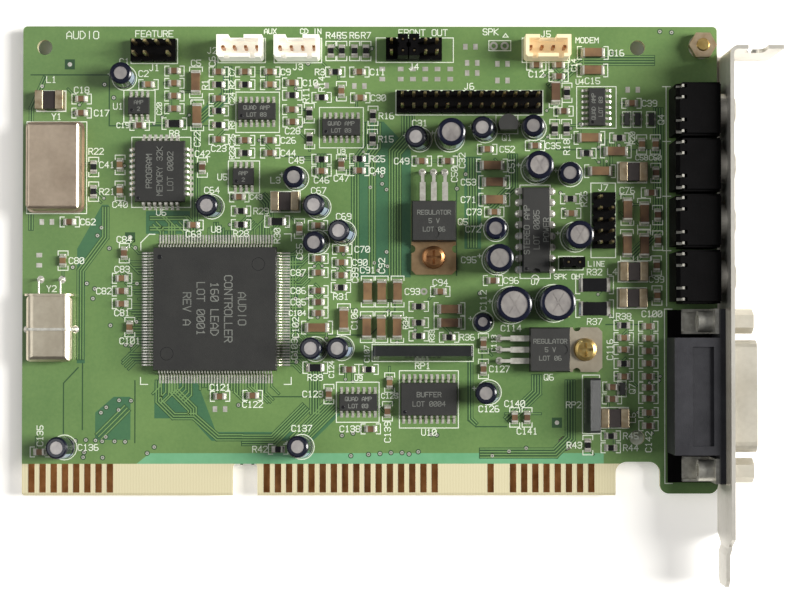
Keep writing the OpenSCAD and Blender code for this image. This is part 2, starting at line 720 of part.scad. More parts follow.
// Audio jacks
module jack_housing(i) {
    y = jack_centre(i);
    rib = 0.5;
    color([0.1, 0.1, 0.11]) place() difference() {
        union() {
            translate([jack_back, y - jack_w / 2 + rib, 0]) cube([jack_l, jack_w - 2 * rib, jack_h]);
            translate([jack_back + 1.6, y - jack_w / 2, 0]) cube([jack_l - 1.6, jack_w, jack_h - 1.2]);
        }
        along_x(jack_back + 0.9, y, jack_axis) cylinder(r = jack_bore_r, h = jack_l);
        for (dy = contact_offsets)
            translate([jack_back - 1, y + dy - contact_slot_w / 2, contact_slot_floor])
                cube([3.4, contact_slot_w, jack_h]);
        // Bevelled rear top edge, and the gap between the feet
        translate([jack_back, y - jack_w, jack_h])
            rotate([0, 45, 0]) translate([-0.6, 0, -0.6]) cube([1.2, 2 * jack_w, 1.2]);
        translate([jack_back + 2.6, y - 2.6, -1]) cube([3.6, 5.2, 1.3]);
    }
}
module line_in_jack() { jack_housing(3); }
module microphone_jack() { jack_housing(2); }
module line_out_jack() { jack_housing(1); }
module speaker_jack() { jack_housing(0); }

module jack_bushes() {
    flange_l = bracket_x - jack_front;
    end = flange_l + bracket_t + bush_out;
    color("silver") place()
        for (i = [0:3])
            along_x(jack_front, jack_centre(i), jack_axis)
                rotate_extrude()
                    polygon([
                        [jack_bore_r, 0], [bush_flange_r, 0], [bush_flange_r, flange_l], [bush_r, flange_l],
                        [bush_r, end - bush_lip], [bush_r - bush_lip, end],
                        [jack_bore_r + bush_lip, end], [jack_bore_r, end - bush_lip]
                    ]);
}
// Spring blades that show in the slots, and the solder pins under each housing
module jack_contacts() {
    blade_w = contact_slot_w - 0.2;
    tip = jack_h + 0.4;
    color("silver") place()
        for (i = [0:3]) {
            for (dy = contact_offsets)
                translate([jack_back, jack_centre(i) + dy + blade_w / 2, 0])
                    rotate([90, 0, 0])
                        linear_extrude(blade_w)
                            polygon([
                                [0.3, contact_slot_floor], [2.3, contact_slot_floor],
                                [2.3, contact_slot_floor + 0.35], [1.9, contact_slot_floor + 0.5],
                                [1.7, tip], [1.2, tip], [1.4, contact_slot_floor + 0.4],
                                [0.3, contact_slot_floor + 0.3]
                            ]);
            for (p = jack_pin_places)
                translate([jack_back + p[0], jack_centre(i) + p[1]]) square_pin(pin_w, 0);
        }
}

// Game port
function port_pins() = [
    for (i = [0:7]) [port_back + 2.6, port_y + (i - 3.5) * port_pin_pitch],
    for (i = [0:6]) [port_back + 2.6 + port_pin_row, port_y + (i - 3) * port_pin_pitch]
];
function lock_legs() = [
    for (side = [-1, 1], dx = [1.2, 4.6]) [lock_back + dx, port_y + side * port_screws / 2]
];
port_wing_t = 1.2;
lock_plate_x = port_flange_x - port_wing_t - lock_plate_t;
lock_boss_l = 3.4;
module port_bores(r, from, depth) {
    for (row = [0, 1], i = [0:7 - row])
        along_x(from, port_y + (i - (7 - row) / 2) * port_pin_pitch, port_axis + (0.5 - row) * port_pin_row)
            cylinder(r = r, h = depth);
}
module game_port_housing() {
    nose_end = shell_x - 0.3;
    color([0.13, 0.13, 0.14]) place() difference() {
        union() {
            translate([0, port_y + port_body_w / 2, 0]) rotate([90, 0, 0]) linear_extrude(port_body_w)
                polygon([
                    [port_back, 0], [port_flange_x, 0], [port_flange_x, port_body_h],
                    [port_back + 1, port_body_h], [port_back, port_body_h - 1]
                ]);
            translate([port_flange_x - port_wing_t, port_y - port_flange_w / 2 + 0.2, port_z_low])
                cube([port_wing_t, port_flange_w - 0.4, port_flange_h - 0.6]);
            along_x(port_flange_x - EPS, port_y, port_axis)
                linear_extrude(nose_end - port_flange_x) d_outline(-shell_t - 0.1);
        }
        port_bores(port_bore_r, nose_end - 5, 6);
        for (side = [-1, 1])
            along_x(port_flange_x - 3, port_y + side * port_screws / 2, port_axis)
                cylinder(r = jackscrew_stud_r + 0.2, h = 5);
        // Cored recess along the top of the moulding
        translate([port_back + 2.4, port_y - port_body_w / 2 + 2, port_body_h - 0.8])
            cube([port_flange_x - port_back - 5, port_body_w - 4, 2]);
    }
}
module rounded_plate(w, h, r) {
    square([w - 2 * r, h], center = true);
    square([w, h - 2 * r], center = true);
    for (x = [-1, 1], y = [-1, 1])
        translate([x * (w / 2 - r), y * (h / 2 - r)]) circle(r);
}
module game_port_shell() {
    color("silver") place() difference() {
        union() {
            along_x(port_flange_x, port_y, port_axis)
                linear_extrude(port_flange_t) rounded_plate(port_flange_w, port_flange_h, 1);
            along_x(port_flange_x, port_y, port_axis)
                linear_extrude(shell_x - port_flange_x) d_outline(0);
        }
        along_x(port_flange_x - 1, port_y, port_axis) linear_extrude(shell_x) d_outline(-shell_t);
        for (side = [-1, 1])
            along_x(port_flange_x - 1, port_y + side * port_screws / 2, port_axis)
                cylinder(r = jackscrew_stud_r + 0.2, h = 3);
    }
}
module game_port_contacts() {
    nose_end = shell_x - 0.3;
    color("gold") place() {
        for (p = port_pins())
            translate(p) square_pin(pin_w, 0);
        port_bores(port_bore_r, nose_end - 5, 0.8);
    }
}
module game_port_locks() {
    wall = 0.6;
    color("silver") place()
        for (side = [-1, 1])
            translate([0, port_y + side * port_screws / 2, 0]) {
                difference() {
                    union() {
                        translate([lock_back, -lock_w / 2, 0])
                            cube([lock_plate_x + lock_plate_t - lock_back, lock_w, lock_plate_t]);
                        translate([lock_plate_x, -lock_w / 2, 0]) cube([lock_plate_t, lock_w, port_axis + 4]);
                        for (edge = [-1, 1])
                            translate([lock_back, edge * (lock_w - wall) / 2 - wall / 2, 0])
                                cube([lock_plate_x - lock_back, wall, 2.6]);
                        along_x(lock_plate_x - lock_boss_l, 0, port_axis)
                            cylinder(r = lock_boss_r, h = lock_boss_l + EPS);
                    }
                    along_x(lock_plate_x - lock_boss_l - 1, 0, port_axis)
                        cylinder(r = jackscrew_stud_r, h = lock_boss_l + 4);
                }
                for (dx = [1.2, 4.6])
                    translate([lock_back + dx, 0, 0]) square_pin(pin_w, EPS);
            }
}
module game_port_jackscrews() {
    stud = bracket_out - lock_plate_x + lock_boss_l - 0.4;
    color("goldenrod") place()
        for (side = [-1, 1])
            along_x(bracket_out, port_y + side * port_screws / 2, port_axis) difference() {
                union() {
                    cylinder(r = jackscrew_af / 2 / cos(30), h = jackscrew_l, $fn = 6);
                    translate([0, 0, -stud]) cylinder(r = jackscrew_stud_r, h = stud + EPS);
                }
                translate([0, 0, 1]) cylinder(r = jackscrew_thread_r, h = jackscrew_l);
            }
}

// Flat packages
module controller_body() {
    color([0.14, 0.14, 0.15]) place() translate([controller[0], controller[1], 0.35])
        moulded(controller_w, controller_w, controller_h, controller_h / 2, 0.25);
}
module controller_leads() {
    color("silver") place() translate(controller)
        for (turn = [0, 90])
            rotate([0, 0, turn])
                lead_rows(40, controller_pitch, controller_w, controller_reach,
                    0.35 + controller_h / 2 - 0.08, 0.7, 0.28, 0.16);
}
module flat_package(p, l, w, h) {
    translate([p[0], p[1], ic_stand]) rotate([0, 0, p[2]]) difference() {
        moulded(l, w, h, h * 0.5, 0.18);
        // Dot at the first lead
        translate([-l / 2 + 0.9, -w / 2 + 0.9, h - 0.08]) cylinder(r = 0.3, h = 1);
    }
}
module flat_leads(p, count, w, h, reach) {
    translate([p[0], p[1], 0]) rotate([0, 0, p[2]])
        lead_rows(count, small_ic_pitch, w, reach, ic_stand + h * 0.5 - lead_t / 2, 0.6, 0.42, lead_t);
}
module small_ic_bodies() {
    color([0.13, 0.13, 0.13]) place()
        for (p = small_ics) flat_package(p, 3 * small_ic_pitch + 1.1, small_ic_w, small_ic_h);
}
module small_ic_leads() {
    color("silver") place()
        for (p = small_ics) flat_leads(p, 4, small_ic_w, small_ic_h, small_ic_reach);
}
module logic_ic_bodies() {
    color([0.13, 0.13, 0.13]) place()
        for (p = logic_ics) flat_package(p, 6 * small_ic_pitch + 1.1, small_ic_w, small_ic_h);
}
module logic_ic_leads() {
    color("silver") place()
        for (p = logic_ics) flat_leads(p, 7, small_ic_w, small_ic_h, small_ic_reach);
}
module wide_ic_body() {
    color([0.13, 0.13, 0.13]) place() flat_package(wide_ic, wide_ic_l, wide_ic_w, wide_ic_h);
}
module wide_ic_leads() {
    color("silver") place() flat_leads(wide_ic, 10, wide_ic_w, wide_ic_h, wide_ic_reach);
}
// Chip carrier, with leads that curl in under the case like a J
module memory_body() {
    color([0.12, 0.12, 0.12]) place() translate([memory_chip[0], memory_chip[1], memory_stand])
        difference() {
            moulded(memory_w, memory_l, memory_h, memory_h * 0.6, 0.25);
            translate([0, memory_l / 2 - 2, memory_h - 0.15]) cylinder(r = 0.7, h = 1);
            translate([-memory_w / 2, memory_l / 2, -1]) rotate([0, 0, 45])
                cube([1.1, 1.1, 8], center = true);
        }
}
module j_lead() {
    rise = memory_stand + memory_h * 0.6;
    rotate([90, 0, 0]) translate([0, 0, -0.3]) linear_extrude(0.6)
        polygon([
            [0, rise + 0.12], [0.45, rise + 0.12], [0.7, rise - 0.12], [0.7, 0.3], [0.4, 0], [-0.5, 0],
            [-0.75, 0.2], [-0.5, 0.25], [0.3, 0.25], [0.45, 0.4], [0.45, rise - 0.25],
            [0.35, rise - 0.12], [0, rise - 0.12]
        ]);
}
module memory_leads() {
    color("silver") place() translate(memory_chip)
        for (side = [0, 180]) {
            for (i = [-3:3])
                rotate([0, 0, side]) translate([i * small_ic_pitch, memory_l / 2]) rotate([0, 0, 90]) j_lead();
            for (i = [-4:4])
                rotate([0, 0, side]) translate([memory_w / 2, i * small_ic_pitch]) j_lead();
        }
}
// Dual in-line amplifier, along y, with its notch towards the fingers
function amplifier_pin_places() = [
    for (side = [-1, 1], i = [0:7])
        [amplifier[0] + side * amplifier_row / 2, amplifier[1] + (i - 3.5) * dip_pitch]
];
module amplifier_body() {
    color([0.13, 0.13, 0.13]) place()
        translate([amplifier[0], amplifier[1], amplifier_stand]) difference() {
            moulded(amplifier_w, amplifier_l, amplifier_h, amplifier_h / 2, 0.3);
            translate([0, -amplifier_l / 2, amplifier_h - 1]) cylinder(r = 1, h = 2);
        }
}
module amplifier_pins() {
    rise = amplifier_stand + amplifier_h / 2;
    out = (amplifier_row - amplifier_w) / 2;
    t = 0.25;
    color("silver") place() translate(amplifier)
        for (side = [0, 180], i = [0:7])
            rotate([0, 0, side]) translate([amplifier_w / 2, (i - 3.5) * dip_pitch, 0]) {
                rotate([90, 0, 0]) translate([0, 0, -0.7]) linear_extrude(1.4)
                    polygon([
                        [0, rise - t / 2], [out - t, rise - t / 2], [out - t / 2, rise - t], [out - t / 2, 0.2],
                        [out + t / 2, 0.2], [out + t / 2, rise], [out, rise + t / 2], [0, rise + t / 2]
                    ]);
                translate([out - t / 2, -0.25, z_stub]) cube([t, 0.5, 0.2 - z_stub + EPS]);
            }
}

// Voltage regulators
module at_regulator(reg) {
    translate([reg[0], reg[1], 0]) rotate([0, 0, reg[2]]) children();
}
module regulator_cases() {
    ejector_r = 1.2;
    color([0.12, 0.12, 0.12]) place()
        for (reg = regulators)
            at_regulator(reg) difference() {
                translate([0, reg_case_from + reg_case_l / 2, reg_tab_t])
                    moulded(reg_w, reg_case_l, reg_case_t - reg_tab_t, 1.2, 0.3);
                translate([0, reg_case_from + 1.9, reg_case_t - 0.15]) cylinder(r = ejector_r, h = 1);
            }
}
module regulator_tabs() {
    notch_r = 0.9;
    color("silver") place()
        for (reg = regulators)
            at_regulator(reg) difference() {
                translate([-reg_w / 2, -reg_tab_back, 0])
                    cube([reg_w, reg_tab_back + reg_case_from + reg_case_l - 0.6, reg_tab_t]);
                translate([0, 0, -1]) cylinder(r = screw_hole_r, h = 4);
                for (side = [-1, 1]) {
                    translate([side * reg_w / 2, reg_case_from - 1.6, -1]) cylinder(r = notch_r, h = 4);
                    translate([side * reg_w / 2, -reg_tab_back, 0]) rotate([0, 0, 45])
                        cube([1.4, 1.4, 6], center = true);
                }
            }
}
module regulator_leads() {
    start = reg_case_from + reg_case_l;
    wide_end = start + 4.2;
    z = reg_tab_t + 1.2 - 0.25;
    t = 0.5;
    color("silver") place()
        for (reg = regulators, i = [-1:1])
            at_regulator(reg) translate([i * reg_lead_pitch, 0, 0]) {
                translate([-0.65, start, z]) cube([1.3, wide_end - start, t]);
                rotate([90, 0, 90]) translate([0, 0, -0.38]) linear_extrude(0.76)
                    polygon([
                        [wide_end, z], [reg_hole_run - t, z], [reg_hole_run - t / 2, z - t / 2],
                        [reg_hole_run - t / 2, z_stub], [reg_hole_run + t / 2, z_stub],
                        [reg_hole_run + t / 2, z], [reg_hole_run - t * 0.2, z + t], [wide_end, z + t]
                    ]);
            }
}

// Electrolytic capacitors: each stands on its bung, and some lean
module lean(c) {
    translate([c[0], c[1], c[2] * sin(c[4]) + cap_stand]) rotate([0, 0, c[5]]) rotate([0, c[4], 0]) children();
}
// Outline of a can as [radius, height], shrunk by s: the waist holds the bung
function can_outline(r, h, s) = [
    [0, 0], [r - s, 0], [r - s, 1.1], [r - s - 0.3, 1.45], [r - s - 0.3, 1.75], [r - s, 2.1],
    [r - s, h - 0.45], [r - s - 0.12, h - 0.17 - s], [r - s - 0.45, h - s], [0, h - s]
];
module capacitor_cans() {
    color("gainsboro") place()
        for (c = capacitors)
            lean(c) difference() {
                rotate_extrude() polygon(can_outline(c[2], c[3], sleeve_t));
                translate([0, 0, -1]) cylinder(r = c[2] + 1, h = cap_bung_h + 1);
                if (c[2] > 3)
                    for (turn = [0, 60, 120])
                        rotate([0, 0, turn])
                            translate([-c[2] * 0.6, -0.1, c[3] - sleeve_t - 0.1]) cube([c[2] * 1.2, 0.2, 1]);
            }
}
module capacitor_sleeves() {
    lip = 1.05;
    color([0.1, 0.12, 0.25]) place()
        for (c = capacitors)
            lean(c) rotate_extrude() difference() {
                polygon(can_outline(c[2], c[3], 0));
                polygon(can_outline(c[2], c[3], sleeve_t));
                translate([0, c[3] - 1]) square([c[2] - lip, 2]);
            }
}
module capacitor_bungs() {
    color([0.2, 0.2, 0.2]) place()
        for (c = capacitors)
            lean(c) cylinder(r = c[2] - sleeve_t, h = cap_bung_h);
}
module capacitor_leads() {
    color("silver") place()
        for (c = capacitors, side = [-1, 1])
            difference() {
                translate([c[0] + side * cap_lead_gap(c), c[1], z_stub])
                    cylinder(r = cap_lead_r, h = -z_stub + 2, $fn = 16);
                lean(c) translate([-10, -10, 0]) cube([20, 20, 10]);
            }
}

// Oscillator in a drawn can
module rounded_box(l, w, h, r) {
    intersection() {
        linear_extrude(h) rounded_plate(l, w, r);
        rotate([90, 0, 0]) translate([0, 0, -w / 2]) linear_extrude(w) domed_section(l, h, r * 0.6);
        rotate([90, 0, 90]) translate([0, 0, -l / 2]) linear_extrude(l) domed_section(w, h, r * 0.6);
    }
}
module domed_section(w, h, r) {
    translate([-w / 2, 0]) square([w, h - r]);
    translate([-w / 2 + r, 0]) square([w - 2 * r, h]);
    for (side = [-1, 1])
        translate([side * (w / 2 - r), h - r]) circle(r);
}
function oscillator_pin_places() = [
    for (sx = [-1, 1], sy = [-1, 1])
        [oscillator[0] + sx * oscillator_pin_gap[0] / 2, oscillator[1] + sy * oscillator_pin_gap[1] / 2]
];
module oscillator_base() {
    color("silver") place() translate([oscillator[0], oscillator[1], oscillator_base_z])
        linear_extrude(oscillator_base_t) rounded_plate(oscillator_w, oscillator_l, 1.4);
}
module oscillator_can() {
    top = oscillator_base_z + oscillator_base_t;
    color("gainsboro") place() translate([oscillator[0], oscillator[1], top])
        rounded_box(oscillator_w - 0.8, oscillator_l - 0.8, oscillator_h - top, 1.6);
}
// Uncut pins, long enough that the card stands on them
module oscillator_pins() {
    color("silver") place()
        for (p = oscillator_pin_places()) {
            translate([p[0], p[1], bracket_low])
                cylinder(r = oscillator_pin_r, h = oscillator_base_z - bracket_low);
            translate([p[0], p[1], 0]) difference() {
                cylinder(r = 0.9, h = oscillator_base_z);
                translate([0, 0, -1]) cylinder(r = oscillator_pin_r - EPS, h = 2);
            }
        }
}

// Flat crystal, strapped down
module crystal_section(grow) {
    r = crystal_h / 2 + grow;
    half = crystal_w / 2 - crystal_h / 2;
    for (side = [-1, 1])
        translate([side * half, crystal_z + crystal_h / 2]) circle(r);
    translate([-half, crystal_z - grow]) square([2 * half, 2 * r]);
}
module crystal_can() {
    color("gainsboro") place() translate([crystal[0], crystal[1], 0]) {
        intersection() {
            rotate([90, 0, 0]) linear_extrude(crystal_l) crystal_section(0);
            translate([0, -crystal_l / 2, 0]) linear_extrude(10) rounded_plate(crystal_w, crystal_l, 1.2);
            rotate([90, 0, 90]) translate([-crystal_l, crystal_z, -crystal_w / 2]) linear_extrude(crystal_w)
                polygon([
                    [0, 1], [0.5, 0.3], [1.2, 0], [crystal_l, 0], [crystal_l, crystal_h],
                    [1.2, crystal_h], [0.5, crystal_h - 0.3], [0, crystal_h - 1]
                ]);
        }
        translate([0, crystal_flange_t, 0]) rotate([90, 0, 0]) linear_extrude(crystal_flange_t)
            crystal_section(crystal_flange_out);
    }
}
function crystal_lead_places() = [
    for (side = [-1, 1])
        [crystal[0] + side * crystal_lead_gap / 2, crystal[1] + crystal_flange_t + crystal_lead_run]
];
module crystal_leads() {
    z = crystal_z + crystal_h / 2;
    bend = 0.6;
    color("silver") place()
        for (p = crystal_lead_places())
            translate([p[0], p[1], 0]) {
                translate([0, -bend, z]) rotate([90, 0, 0])
                    cylinder(r = crystal_lead_r, h = crystal_lead_run - bend, $fn = 16);
                translate([0, -bend, z - bend]) rotate([0, 90, 0]) rotate([0, 0, 90]) rotate_extrude(angle = 90)
                    translate([bend, 0]) circle(crystal_lead_r, $fn = 16);
                translate([0, 0, z_stub]) cylinder(r = crystal_lead_r, h = z - bend - z_stub, $fn = 16);
            }
}
function strap_places() = [
    for (side = [-1, 1]) [crystal[0] + side * (crystal_w + strap_t) / 2, strap_y]
];
module crystal_strap() {
    wire = 0.6;
    color("silver") place() translate([crystal[0], strap_y + wire / 2, 0]) rotate([90, 0, 0])
        linear_extrude(wire) {
            difference() {
                crystal_section(strap_t);
                crystal_section(0);
                translate([-crystal_w, -5]) square([2 * crystal_w, 5 + crystal_z + crystal_h / 2]);
            }
            for (side = [-1, 1])
                translate([side * (crystal_w + strap_t) / 2 - strap_t / 2, z_stub])
                    square([strap_t, crystal_z + crystal_h / 2 - z_stub]);
        }
}

// Audio connectors: open housings with keyed walls
module audio_housing(p, key_from, key_to) {
    translate([p[0], p[1], 0]) difference() {
        translate([-audio_l / 2, -audio_w / 2, 0]) cube([audio_l, audio_w, audio_h]);
        translate([-audio_l / 2 + audio_wall, -audio_w / 2 + audio_wall, audio_floor])
            cube([audio_l - 2 * audio_wall, audio_w - 2 * audio_wall, audio_h]);
        translate([key_from, audio_w / 2 - audio_wall - EPS, audio_floor + 1])
            cube([key_to - key_from, 2, audio_h]);
        for (x = [-1, 1])
            translate([x * 2.9 - 0.6, -audio_w / 2 - 1, audio_h - 2.4]) cube([1.2, audio_wall + 1 + EPS, 4]);
        for (i = [0:3])
            translate([(i - 1.5) * audio_pitch - pin_w / 2, -pin_w / 2, -1]) cube([pin_w, pin_w, 5]);
        // Chamfered rear corners, so that the plug goes in one way round
        for (x = [-1, 1])
            translate([x * audio_l / 2, -audio_w / 2, 0]) rotate([0, 0, 45]) cube([0.7, 0.7, 40], center = true);
    }
}
module cd_audio_connector() {
    color("ivory") place() audio_housing(cd_audio, -2.4, 1);
}
module aux_connector() {
    color("ivory") place() audio_housing(aux, -2.4, 1.4);
}
module modem_connector() {
    color([0.93, 0.87, 0.72]) place() audio_housing(modem, -1.9, 1.9);
}
module audio_connector_pins() {
    color("gold") place()
        for (p = [cd_audio, aux, modem], i = [0:3])
            translate([p[0] + (i - 1.5) * audio_pitch, p[1]]) pointed_pin(pin_w, audio_h - 1.2);
}

// Pin headers
function header_places(h) = [
    for (c = [0:h[2] - 1], r = [0:h[3] - 1])
        if (!(c == h[5] && r == 0))
            let (u = (c - (h[2] - 1) / 2) * header_pitch, v = (r - (h[3] - 1) / 2) * header_pitch)
                h[4] == 0 ? [h[0] + u, h[1] + v] : [h[0] - v, h[1] - u]
];
module header_block(columns, rows) {
    l = columns * header_pitch;
    w = rows * header_pitch;
    linear_extrude(header_h) difference() {
        square([l, w], center = true);
        for (i = [1:columns - 1], side = [-1, 1])
            translate([(i - columns / 2) * header_pitch, side * w / 2])
                rotate([0, 0, 45]) square(header_notch * sqrt(2), center = true);
    }
}
module header_bodies() {
    color([0.12, 0.12, 0.12]) place()
        for (h = headers)
            difference() {
                translate([h[0], h[1], 0]) rotate([0, 0, h[4]]) header_block(h[2], h[3]);
                for (p = header_places(h))
                    translate([p[0] - pin_w / 2, p[1] - pin_w / 2, -1]) cube([pin_w, pin_w, header_h + 2]);
            }
}
module header_pins() {
    color("gold") place()
        for (h = headers, p = header_places(h))
            translate(p) pointed_pin(pin_w, pin_h);
}
module jumper_caps() {
    grip = 0.35;
    color([0.13, 0.13, 0.13]) place()
        for (j = jumpers)
            translate([j[0], j[1], header_h]) rotate([0, 0, j[2]]) difference() {
                translate([-header_pitch + 0.1, -jumper_w / 2, 0]) cube([2 * header_pitch - 0.2, jumper_w, jumper_h]);
                for (side = [-1, 1]) {
                    translate([side * header_pitch / 2 - pin_w / 2, -pin_w / 2, -1])
                        cube([pin_w, pin_w, jumper_h + 2]);
                    translate([side * header_pitch / 2 - 0.45, -0.25, jumper_h - 1]) cube([0.9, 0.5, 2]);
                    translate([-0.5, side * jumper_w / 2 - grip, jumper_h - 2.5]) cube([1, 2 * grip, 4]);
                }
            }
}

// Resistor networks in one row of pins, leaning away from their pin marks
function network_places(n) = [
    for (i = [0:n[2] - 1])
        let (u = (i - (n[2] - 1) / 2) * header_pitch)
            n[3] == 0 ? [n[0] + u, n[1]] : [n[0], n[1] + u]
];
module at_network(n) {
    translate([n[0], n[1], network_stand + network_t / 2 * sin(n[4])])
        rotate([0, 0, -n[3]]) rotate([-n[4], 0, 0]) children();
}
module resistor_networks() {
    color([0.12, 0.12, 0.13]) place()
        for (n = networks)
            at_network(n) translate([0, 0, network_h / 2]) rotate([90, 0, 0])
                translate([0, 0, -network_t / 2]) linear_extrude(network_t)
                    rounded_plate((n[2] - 1) * header_pitch + 2.2, network_h, 0.6);
}
module network_pins() {
    color("silver") place()
        for (n = networks, p = network_places(n))
            difference() {
                translate([p[0], p[1], 0]) rotate([0, 0, n[3]]) translate([-0.25, -0.15, z_stub])
                    cube([0.5, 0.3, network_stand + 1 - z_stub]);
                at_network(n) translate([-20, -5, 0]) cube([40, 10, 5]);
            }
}

// Wound chip inductors: a ferrite middle between two wide metal ends
module inductor_cores() {
    color([0.25, 0.2, 0.18]) place()
        for (p = inductors)
            translate([p[0] - inductor_core_l / 2, p[1] - inductor_w / 2 + 0.15, 0])
                cube([inductor_core_l, inductor_w - 0.3, inductor_h - 0.3]);
}
module inductor_terminals() {
    end_l = (inductor_l - inductor_core_l) / 2;
    color("silver") place()
        for (p = inductors, side = [-1, 1])
            translate([p[0] + side * (inductor_core_l + end_l) / 2, p[1], 0])
                rounded_box(end_l, inductor_w, inductor_h, 0.3);
}

// Chips: [x, y, turn, length, width, height]
function chips_of(places, turn, l, w, h) = [for (p = places) [p[0], p[1], turn, l, w, h]];
chip_capacitor_list = concat(
    chips_of(caps_along_x, 0, chip_l, chip_w, chip_cap_h),
    chips_of(caps_along_y, 90, chip_l, chip_w, chip_cap_h),
    chips_of(large_caps_along_x, 0, large_cap_l, large_cap_w, large_cap_chip_h),
    chips_of(large_caps_along_y, 90, large_cap_l, large_cap_w, large_cap_chip_h)
);
chip_resistor_list = concat(
    chips_of(resistors_along_x, 0, chip_l, chip_w, chip_res_h),
    chips_of(resistors_along_y, 90, chip_l, chip_w, chip_res_h),
    [for (p = large_resistors) [p[0], p[1], 0, p[2], p[3], chip_res_h]]
);
module chip_middle(c) {
    translate([c[0], c[1], 0]) rotate([0, 0, c[2]])
        translate([-c[3] / 2 + chip_end, -c[4] / 2, chip_end_growth])
            cube([c[3] - 2 * chip_end, c[4], c[5] - chip_end_growth]);
}
module chip_ends(c) {
    translate([c[0], c[1], 0]) rotate([0, 0, c[2]])
        for (side = [-1, 1])
            translate([side * (c[3] - chip_end) / 2 - chip_end / 2, -c[4] / 2 - chip_end_growth, 0])
                cube([chip_end, c[4] + 2 * chip_end_growth, c[5] + chip_end_growth]);
}
module chip_capacitors() {
    color([0.72, 0.62, 0.48]) place() for (c = chip_capacitor_list) chip_middle(c);
}
module chip_resistors() {
    color([0.1, 0.1, 0.1]) place() for (c = chip_resistor_list) chip_middle(c);
}
module chip_terminals() {
    color("silver") place() for (c = concat(chip_capacitor_list, chip_resistor_list)) chip_ends(c);
}

// Transistors
module transistor_bodies() {
    color([0.12, 0.12, 0.12]) place() {
        for (p = transistors)
            translate([p[0], p[1], 0.08]) moulded(transistor_w, transistor_l, transistor_h, 0.55, 0.1);
        translate([leaded_transistor[0], leaded_transistor[1], leaded_stand]) intersection() {
            cylinder(r = leaded_r, h = leaded_h);
            translate([-leaded_r, -leaded_flat, 0]) cube([2 * leaded_r, leaded_flat + leaded_r, leaded_h]);
        }
    }
}
module transistor_leads() {
    color("silver") place() {
        for (p = transistors)
            translate(p) {
                for (y = [-0.95, 0.95])
                    translate([-transistor_w / 2, y, 0]) rotate([0, 0, 180])
                        gull_lead(transistor_reach - transistor_w / 2, 0.56, 0.25, 0.4, 0.12);
                translate([transistor_w / 2, 0, 0])
                    gull_lead(transistor_reach - transistor_w / 2, 0.56, 0.25, 0.4, 0.12);
            }
        for (i = [-1:1])
            translate([leaded_transistor[0] + i * leaded_pitch, leaded_transistor[1], z_stub])
                cylinder(r = leaded_wire_r, h = leaded_stand - z_stub, $fn = 16);
    }
}

board();
contacts_front();
contacts_back();
bracket();
mounting_screws();
lock_washer();
mounting_nuts();
line_in_jack();
microphone_jack();
line_out_jack();
speaker_jack();
jack_bushes();
jack_contacts();
game_port_housing();
game_port_shell();
game_port_contacts();
game_port_locks();
game_port_jackscrews();
controller_body();
controller_leads();
memory_body();
memory_leads();
small_ic_bodies();
small_ic_leads();
logic_ic_bodies();
logic_ic_leads();
wide_ic_body();
wide_ic_leads();
amplifier_body();
amplifier_pins();
regulator_cases();
regulator_tabs();
regulator_leads();
capacitor_cans();
capacitor_sleeves();
capacitor_bungs();
capacitor_leads();
oscillator_can();
oscillator_base();
oscillator_pins();
crystal_can();
crystal_leads();
crystal_strap();
cd_audio_connector();
aux_connector();
modem_connector();
audio_connector_pins();
header_bodies();
header_pins();
jumper_caps();
resistor_networks();
network_pins();
inductor_cores();
inductor_terminals();
chip_capacitors();
chip_resistors();
chip_terminals();
transistor_bodies();
transistor_leads();
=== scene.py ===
import json
import math

import bpy
import numpy as np
from mathutils import Matrix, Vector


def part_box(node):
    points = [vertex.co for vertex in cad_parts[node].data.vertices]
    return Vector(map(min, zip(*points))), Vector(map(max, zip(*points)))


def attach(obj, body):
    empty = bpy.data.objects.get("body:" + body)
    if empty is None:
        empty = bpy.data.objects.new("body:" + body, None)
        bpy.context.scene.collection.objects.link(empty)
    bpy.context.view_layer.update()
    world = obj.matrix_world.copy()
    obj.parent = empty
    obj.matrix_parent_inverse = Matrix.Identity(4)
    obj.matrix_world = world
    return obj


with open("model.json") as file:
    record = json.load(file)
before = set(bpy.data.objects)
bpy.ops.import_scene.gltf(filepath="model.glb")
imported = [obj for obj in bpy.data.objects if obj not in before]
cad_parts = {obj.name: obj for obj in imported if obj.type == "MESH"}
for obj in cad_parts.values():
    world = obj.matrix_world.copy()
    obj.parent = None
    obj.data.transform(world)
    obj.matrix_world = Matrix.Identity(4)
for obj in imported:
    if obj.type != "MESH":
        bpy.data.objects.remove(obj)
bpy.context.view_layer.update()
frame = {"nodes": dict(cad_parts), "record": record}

# A sound card seen from above. The solids come from the frame; this script gives them their finishes,
# and adds what lies on the board: copper, vias, print, pads, solder, the marks on the packages, a low black block
# under the game port, and the rear of the port.

record = frame["record"]
nodes = frame["nodes"]
rng = np.random.default_rng(12)

# The board's own frame: x from its free end, y from the finger edge, z from the component face, in mm
board_low, board_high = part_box("board")
ORIGIN = np.array([board_low.x, board_low.y, board_high.z])
MM = 0.001
BOARD_L = (board_high.x - board_low.x) / MM
BOARD_D = (board_high.y - board_low.y) / MM
BOARD_T = (board_high.z - board_low.z) / MM
SOLDER_Z = -BOARD_T

# The photograph's frame and its scale on the component face
IMAGE_W, IMAGE_H = 800, 600
PX_PER_MM = 4.40
BOARD_PX = (22.7, 495.2)

# Heights of the layers on the board, in mm above a face
MASK_GAP_H = 0.012
TRACE_H = 0.022
PAD_H = 0.035
PRINT_H = 0.045
LAYER_STEP = 0.0006
MASK_EDGE_Y = 7.2
REAR_TAB_X = 140.0


def srgb(r, g, b):
    """A colour given as 0 to 255 turned to linear light: each share to the power 2.2, near enough."""
    return tuple((c / 255) ** 2.2 for c in (r, g, b)) + (1.0,)


# Shader groups

# The colour sockets of a Mix node: its two colours and its result
MIX_A, MIX_B, MIX_RESULT = 6, 7, 2


